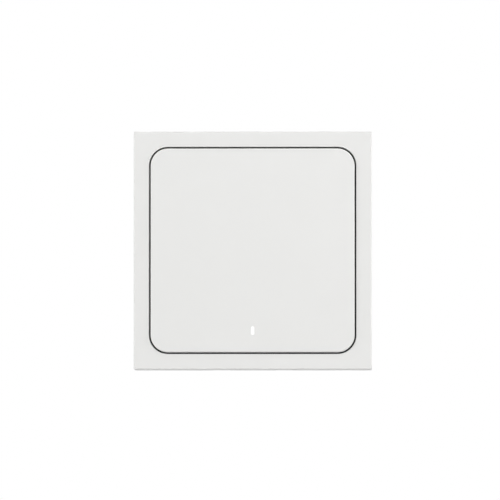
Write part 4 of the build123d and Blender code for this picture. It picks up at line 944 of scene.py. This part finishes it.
def antenna_path():
    """Meander between the radio board's upper edge and its shield, from the feed on the left."""
    low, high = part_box("radio_board")
    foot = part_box("radio_shield")[1].z + ANTENNA_SHIELD_GAP
    bend, top = foot + ANTENNA_BEND_RISE, high.z - ANTENNA_TOP_MARGIN
    left, right = low.x + ANTENNA_SIDE_MARGIN, high.x - ANTENNA_SIDE_MARGIN
    path = [(left, foot), (left, top)]
    for arm in range(1, ANTENNA_ARMS + 1):
        across = left + (right - left) * arm / ANTENNA_ARMS
        ends = (top, bend) if arm % 2 else (foot, top)
        path += [(across, end) for end in ends]
    return path


def lay_tracks(name, paths, tree, material, width, face):
    """Piece of flat tracks that lie on a board's face."""
    sizes = {"Width": width, "Thickness": TRACK_THICKNESS, "Bend": BEND_PER_WIDTH * width, "Face": face}
    mesh = grown(name, paths_mesh(name + "_paths", paths), tree, sizes)
    mesh_piece(name, mesh, material, "wall_unit")


# Stage


def seen_or_lit(tree, lit, seen):
    """Shader that shows one shader to the camera, gloss and clear pieces, and another to all other light."""
    path = tree.nodes.new("ShaderNodeLightPath").outputs
    eye = sums(tree, "MAXIMUM", path["Is Camera Ray"], path["Is Glossy Ray"])
    eye = sums(tree, "MAXIMUM", eye, path["Is Transmission Ray"])
    mix = step(tree, "ShaderNodeMixShader", Fac=eye)
    feed(mix.inputs[1], lit)
    feed(mix.inputs[2], seen)
    return mix.outputs["Shader"]


def grey(level):
    """A plain grey."""
    return (level, level, level)


def make_floor():
    """Pale floor well below the button, which looks near white, with soft shadows."""
    half = FLOOR_WIDTH / 2
    mesh = bpy.data.meshes.new("floor")
    edges = [(-half, -half), (half, -half), (half, half), (-half, half)]
    mesh.from_pydata([(x, y, -FLOOR_DROP) for x, y in edges], [], [(0, 1, 2, 3)])
    floor = bpy.data.objects.new("floor", mesh)
    bpy.context.scene.collection.objects.link(floor)
    material, tree, shader, place = new_material("studio_floor")
    shade = noise(tree, place, FLOOR_MOTTLE, detail=2)
    fill(shader, Base_Color=blend(tree, shade, *map(grey, FLOOR_SHADES)), Roughness=0.8)
    parts = parts_of(tree, place)
    glow = spread(tree, distance(tree, parts["X"], parts["Y"]), *FLOOR_GLOW, *FLOOR_GLOW_REACH)
    pale = tree.nodes.new("ShaderNodeAddShader")
    feed(pale.inputs[0], made(tree, "ShaderNodeEmission", Strength=glow))
    shadowed = blend(tree, shade, *map(grey, SHADOW_SHADES))
    feed(pale.inputs[1], made(tree, "ShaderNodeBsdfDiffuse", Color=shadowed))
    shown = seen_or_lit(tree, shader.outputs["BSDF"], pale.outputs["Shader"])
    fill(tree.get_output_node("ALL"), Surface=shown)
    mesh.materials.append(material)


def make_world():
    """Even studio light, and a ground that is plain white for the camera, gloss and clear pieces."""
    world = bpy.data.worlds.new("studio_world")
    bpy.context.scene.world = world
    world.use_nodes = True
    tree = world.node_tree
    tree.nodes.clear()
    soft, white = (
        made(tree, "ShaderNodeBackground", Color=opaque(grey(1)), Strength=level)
        for level in (WORLD_LIGHT, 1.0)
    )
    step(tree, "ShaderNodeOutputWorld", Surface=seen_or_lit(tree, soft, white))


def make_lamp(name, place, width, power):
    """Square soft lamp that faces the button."""
    data = bpy.data.lights.new(name, "AREA")
    data.shape = "SQUARE"
    data.size = width
    data.energy = power
    lamp = bpy.data.objects.new(name, data)
    lamp.location = place
    lamp.rotation_mode = "QUATERNION"
    lamp.rotation_quaternion = (AIM - place).to_track_quat("-Z", "Y")
    bpy.context.scene.collection.objects.link(lamp)


def make_camera(field, far, across, below):
    """Long lens on the button's face, from a little to the right of and below its axis."""
    data = bpy.data.cameras.new("camera")
    data.sensor_width = SENSOR_WIDTH
    data.lens = SENSOR_WIDTH * far / field
    data.clip_end = CLIP_END
    camera = bpy.data.objects.new("camera", data)
    bpy.context.scene.collection.objects.link(camera)
    level = Vector((math.sin(across), -math.cos(across), 0)) * math.cos(below)
    back = level - Vector((0, 0, math.sin(below)))
    camera.location = AIM + Vector((CENTRE_ACROSS, 0, CENTRE_UP)) + back * far
    camera.rotation_mode = "QUATERNION"
    camera.rotation_quaternion = (-back).to_track_quat("-Z", "Y")
    bpy.context.scene.camera = camera


# Operators, one for each piece or group of like pieces


class BUTTON_OT_key_and_frame(bpy.types.Operator):
    """Finish the key and the frame in satin white plastic"""

    bl_idname = "button.key_and_frame"
    bl_label = "Key and frame"

    def execute(self, context):
        plastics = context.scene.button_plastics
        surface = {"rough": plastics.gloss_white, "play": 0.05, "depth": 0.006 * MM, "mottle": 0.004}
        white = moulded_plastic("satin_white", plastics.white, plastics.grain, **surface)
        dress(["key", "frame"], white)
        return {"FINISHED"}


class BUTTON_OT_black_mouldings(bpy.types.Operator):
    """Finish the housing, chassis, carrier, holder, shroud and switch bases in matt black plastic"""

    bl_idname = "button.black_mouldings"
    bl_label = "Black mouldings"

    def execute(self, context):
        plastics = context.scene.button_plastics
        surface = {"rough": 0.58, "play": 0.08, "depth": 0.012 * MM, "mottle": 0.12}
        coarse = moulded_plastic("matt_black", plastics.black, 1.6 * plastics.grain, **surface)
        dress(["chassis", "rear_housing", "key_carrier", "battery_holder", "led_shroud"], coarse)
        surface = {"rough": 0.42, "play": 0.06, "depth": 0.004 * MM, "mottle": 0.1}
        smooth = moulded_plastic("switch_black", plastics.black, plastics.grain, **surface)
        dress(["switch_base", "pair_switch_base"], smooth)
        return {"FINISHED"}


class BUTTON_OT_grey_mouldings(bpy.types.Operator):
    """Finish the wall plate and the switches' plungers in grey plastic"""

    bl_idname = "button.grey_mouldings"
    bl_label = "Grey mouldings"

    def execute(self, context):
        plastics = context.scene.button_plastics
        surface = {"rough": 0.55, "play": 0.07, "depth": 0.022 * MM, "mottle": 0.05}
        plate = moulded_plastic("plate_grey", plastics.grey, 2.6 * plastics.grain, **surface)
        dress(["wall_plate"], plate)
        surface = {"rough": 0.4, "play": 0.05, "depth": 0.003 * MM, "mottle": 0.02}
        pale = tinted(plastics.grey, 1.2)
        plunger = moulded_plastic("plunger_grey", pale, plastics.grain, **surface)
        dress(["switch_plunger", "pair_plunger"], plunger)
        return {"FINISHED"}


class BUTTON_OT_light_slot(bpy.types.Operator):
    """Fill the light guide with light and finish the lamp behind it"""

    bl_idname = "button.light_slot"
    bl_label = "Light slot"

    def execute(self, context):
        light = context.scene.button_light
        dress(["light_guide"], lit_guide("lit_guide", light.glow, light.tint))
        lamp = lamp_chip("lamp_chip", case=(0.85, 0.84, 0.8), resin=(0.86, 0.68, 0.2))
        dress(["indicator_led"], lamp)
        return {"FINISHED"}


class BUTTON_OT_metal_pieces(bpy.types.Operator):
    """Finish the pins, screws, contacts, covers, shields and the coin cell"""

    bl_idname = "button.metal_pieces"
    bl_label = "Metal pieces"

    def execute(self, context):
        metals = context.scene.button_metals
        pins = drawn_metal("pin_steel", metals.steel, rough=0.26, axis=0)
        dress(["hinge_pin_left", "hinge_pin_right"], pins)
        screws = drawn_metal("screw_steel", tinted(metals.steel, 0.9), rough=0.34, axis=1)
        dress(["housing_screws"], screws)
        bright = plated_sheet("plated_contact", metals.nickel, rough=0.26)
        dress(["switch_cover", "pair_switch_cover", "switch_terminals"], bright)
        dress(["contact_negative", "contact_positive"], bright)
        dull = plated_sheet("shield_sheet", tinted(metals.nickel, 0.95), rough=0.33)
        dress(["radio_shield", "crystal"], dull)
        dress(["coin_cell"], cell_can("cell_can", (0.68, 0.68, 0.67)))
        return {"FINISHED"}


class BUTTON_OT_return_springs(bpy.types.Operator):
    """Wind the two return springs"""

    bl_idname = "button.return_springs"
    bl_label = "Return springs"

    def execute(self, context):
        wire = drawn_metal("spring_wire", context.scene.button_metals.steel, rough=0.3, axis=2)
        tree = spring_tree(wire)
        for hand in ("left", "right"):
            name, node = "spring_" + hand, "return_spring_" + hand
            centre = middle(node)
            spot = ((centre.x, WALL_SIDE[node], centre.z), FULL_SIZE, TO_USER)
            sizes = {
                "Radius": (span(node).x - SPRING_WIRE) / 2,
                "Wire": SPRING_WIRE,
                "Turns": SPRING_TURNS,
                "Length": span(node).y,
                "Closing": SPRING_CLOSING_SHARE,
            }
            mesh = grown(name, spots_mesh(node + "_spot", [spot]), tree, sizes)
            soft_piece(name, mesh, wire, node)
        return {"FINISHED"}


class BUTTON_OT_domes(bpy.types.Operator):
    """Make the key switch's rubber dome and the pairing switch's snap dome"""

    bl_idname = "button.domes"
    bl_label = "Switch domes"

    def execute(self, context):
        node = "switch_dome"
        rubber = silicone("dome_rubber", (0.42, 0.43, 0.43))
        mesh = turned_mesh("rubber_dome", middle(node), rubber_profile(node))
        soft_piece("rubber_dome", mesh, rubber, node)
        node = "pair_dome"
        steel = drawn_metal("dome_steel", context.scene.button_metals.steel, rough=0.2, axis=0)
        mesh = turned_mesh("snap_dome", middle(node), snap_profile(node))
        soft_piece("snap_dome", mesh, steel, node)
        return {"FINISHED"}


class BUTTON_OT_boards(bpy.types.Operator):
    """Finish the circuit boards and the chip capacitors"""

    bl_idname = "button.boards"
    bl_label = "Circuit boards"

    def execute(self, context):
        boards = context.scene.button_boards
        dress(["pcb"], circuit_mask("main_board", boards.mask, "pcb"))
        dress(["radio_board"], circuit_mask("radio_board", boards.radio_mask, "radio_board"))
        chips = chip_capacitors("chip_capacitors", body=(0.42, 0.29, 0.17), cap=(0.72, 0.71, 0.69))
        dress(["capacitors"], chips)
        return {"FINISHED"}


class BUTTON_OT_solder_joints(bpy.types.Operator):
    """Make the solder fillets of the radio board, the switches, the capacitors and the crystal"""

    bl_idname = "button.solder_joints"
    bl_label = "Solder joints"

    def execute(self, context):
        solder = plated_sheet("solder", context.scene.button_metals.solder, rough=0.3)
        base = spots_mesh("solder_spots", solder_spots())
        mesh = grown("solder_joints", base, fillet_tree(solder), {"Waist": WAIST_SHARE})
        mesh_piece("solder_joints", mesh, solder, "wall_unit")
        return {"FINISHED"}


class BUTTON_OT_board_tracks(bpy.types.Operator):
    """Make the printed tracks on both faces of the main board and the radio board's antenna"""

    bl_idname = "button.board_tracks"
    bl_label = "Tracks and antenna"

    def execute(self, context):
        boards = context.scene.button_boards
        width, half = boards.track_width, TRACK_THICKNESS / 2
        covered = covered_track("covered_track", boards.mask)
        tracks = track_tree("printed_tracks", covered, pads=True)
        for name, table, face in (
            ("front_tracks", FRONT_TRACKS, USER_SIDE["pcb"] - half),
            ("back_tracks", BACK_TRACKS, WALL_SIDE["pcb"] + half),
        ):
            paths = [[millimetres(*place) for place in path] for path in table]
            lay_tracks(name, paths, tracks, covered, width, face)
        copper = plated_sheet("bare_copper", context.scene.button_metals.copper, rough=0.35)
        strip = track_tree("antenna_strip", copper, pads=False)
        width *= ANTENNA_PER_TRACK
        face = WALL_SIDE["radio_board"] + half
        lay_tracks("antenna_trace", [antenna_path()], strip, copper, width, face)
        return {"FINISHED"}


class BUTTON_OT_screw_threads(bpy.types.Operator):
    """Wind the threads of the four screws that hold the two halves together"""

    bl_idname = "button.screw_threads"
    bl_label = "Screw threads"

    def execute(self, context):
        steel = tinted(context.scene.button_metals.steel, 0.9)
        bright = drawn_metal("thread_steel", steel, rough=0.3, axis=1)
        tip, head = USER_SIDE["housing_screws"], WALL_SIDE["housing_screws"]
        start = head + THREAD_START_SHARE * (tip - head)
        spots = [((x, start, z), FULL_SIZE, TO_USER) for x, z in corners(SCREW_REACH)]
        sizes = {
            "Radius": THREAD_RADIUS,
            "Pitch": THREAD_PITCH,
            "Length": start - tip - THREAD_END,
            "Depth": THREAD_DEPTH,
        }
        mesh = grown("screw_threads", spots_mesh("thread_spots", spots), thread_tree(bright), sizes)
        mesh_piece("screw_threads", mesh, bright, "wall_unit")
        return {"FINISHED"}


class BUTTON_OT_ejector_marks(bpy.types.Operator):
    """Make the rings left by ejector pins in the wall plate's tape recesses"""

    bl_idname = "button.ejector_marks"
    bl_label = "Ejector marks"

    def execute(self, context):
        plastics = context.scene.button_plastics
        surface = {"rough": 0.45, "play": 0.05, "depth": 0.004 * MM, "mottle": 0.03}
        rims = moulded_plastic("mark_grey", plastics.grey, plastics.grain, **surface)
        floor = WALL_SIDE["wall_plate"] - RECESS_DEPTH
        spots = [((x, floor, z), FULL_SIZE, TO_WALL) for x, z in corners(RECESS_REACH)]
        sizes = {"Radius": MARK_RADIUS, "Rim": MARK_RIM, "Rise": MARK_RIM}
        mesh = grown("ejector_marks", spots_mesh("mark_spots", spots), mark_tree(rims), sizes)
        mesh_piece("ejector_marks", mesh, rims, "wall_unit")
        return {"FINISHED"}


class BUTTON_OT_rubber(bpy.types.Operator):
    """Finish the stop pads in rubber"""

    bl_idname = "button.rubber"
    bl_label = "Rubber"

    def execute(self, context):
        dress(["stop_pads"], silicone("pad_rubber", (0.035, 0.035, 0.037)))
        return {"FINISHED"}


class BUTTON_OT_studio(bpy.types.Operator):
    """Set the floor, the lamps, the white ground and the camera"""

    bl_idname = "button.studio"
    bl_label = "Studio"

    def execute(self, context):
        studio = context.scene.button_studio
        make_floor()
        make_world()
        for lamp in LAMPS:
            make_lamp(*lamp)
        make_camera(studio.field, studio.distance, studio.across, studio.below)
        context.scene.view_settings.view_transform = "Standard"
        return {"FINISHED"}


# Panel and registration

OPERATORS = (
    BUTTON_OT_key_and_frame,
    BUTTON_OT_black_mouldings,
    BUTTON_OT_grey_mouldings,
    BUTTON_OT_light_slot,
    BUTTON_OT_metal_pieces,
    BUTTON_OT_return_springs,
    BUTTON_OT_domes,
    BUTTON_OT_boards,
    BUTTON_OT_solder_joints,
    BUTTON_OT_board_tracks,
    BUTTON_OT_screw_threads,
    BUTTON_OT_ejector_marks,
    BUTTON_OT_rubber,
    BUTTON_OT_studio,
)
GROUPS = (
    ("button_plastics", ButtonPlastics),
    ("button_light", ButtonLight),
    ("button_metals", ButtonMetals),
    ("button_boards", ButtonBoards),
    ("button_studio", ButtonStudio),
)


class BUTTON_PT_pieces(bpy.types.Panel):
    """Lists the button's pieces"""

    bl_idname = "BUTTON_PT_pieces"
    bl_label = "Wall button"
    bl_space_type = "VIEW_3D"
    bl_region_type = "UI"
    bl_category = "Wall button"

    def draw(self, context):
        for name, group in GROUPS:
            box = self.layout.box()
            for prop in group.__annotations__:
                box.prop(getattr(context.scene, name), prop)
        for operator in OPERATORS:
            self.layout.operator(operator.bl_idname)


def register():
    """Register the groups, the operators and the panel."""
    for name, group in GROUPS:
        bpy.utils.register_class(group)
        setattr(bpy.types.Scene, name, bpy.props.PointerProperty(type=group))
    for operator in OPERATORS:
        bpy.utils.register_class(operator)
    bpy.utils.register_class(BUTTON_PT_pieces)


def unregister():
    """Take the panel, the operators and the groups out again."""
    bpy.utils.unregister_class(BUTTON_PT_pieces)
    for operator in reversed(OPERATORS):
        bpy.utils.unregister_class(operator)
    for name, group in reversed(GROUPS):
        delattr(bpy.types.Scene, name)
        bpy.utils.unregister_class(group)


def main():
    """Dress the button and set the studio."""
    register()
    bpy.ops.button.key_and_frame()
    bpy.ops.button.black_mouldings()
    bpy.ops.button.grey_mouldings()
    bpy.ops.button.light_slot()
    bpy.ops.button.metal_pieces()
    bpy.ops.button.return_springs()
    bpy.ops.button.domes()
    bpy.ops.button.boards()
    bpy.ops.button.solder_joints()
    bpy.ops.button.board_tracks()
    bpy.ops.button.screw_threads()
    bpy.ops.button.ejector_marks()
    bpy.ops.button.rubber()
    bpy.ops.button.studio()


if __name__ == "__main__":
    main()
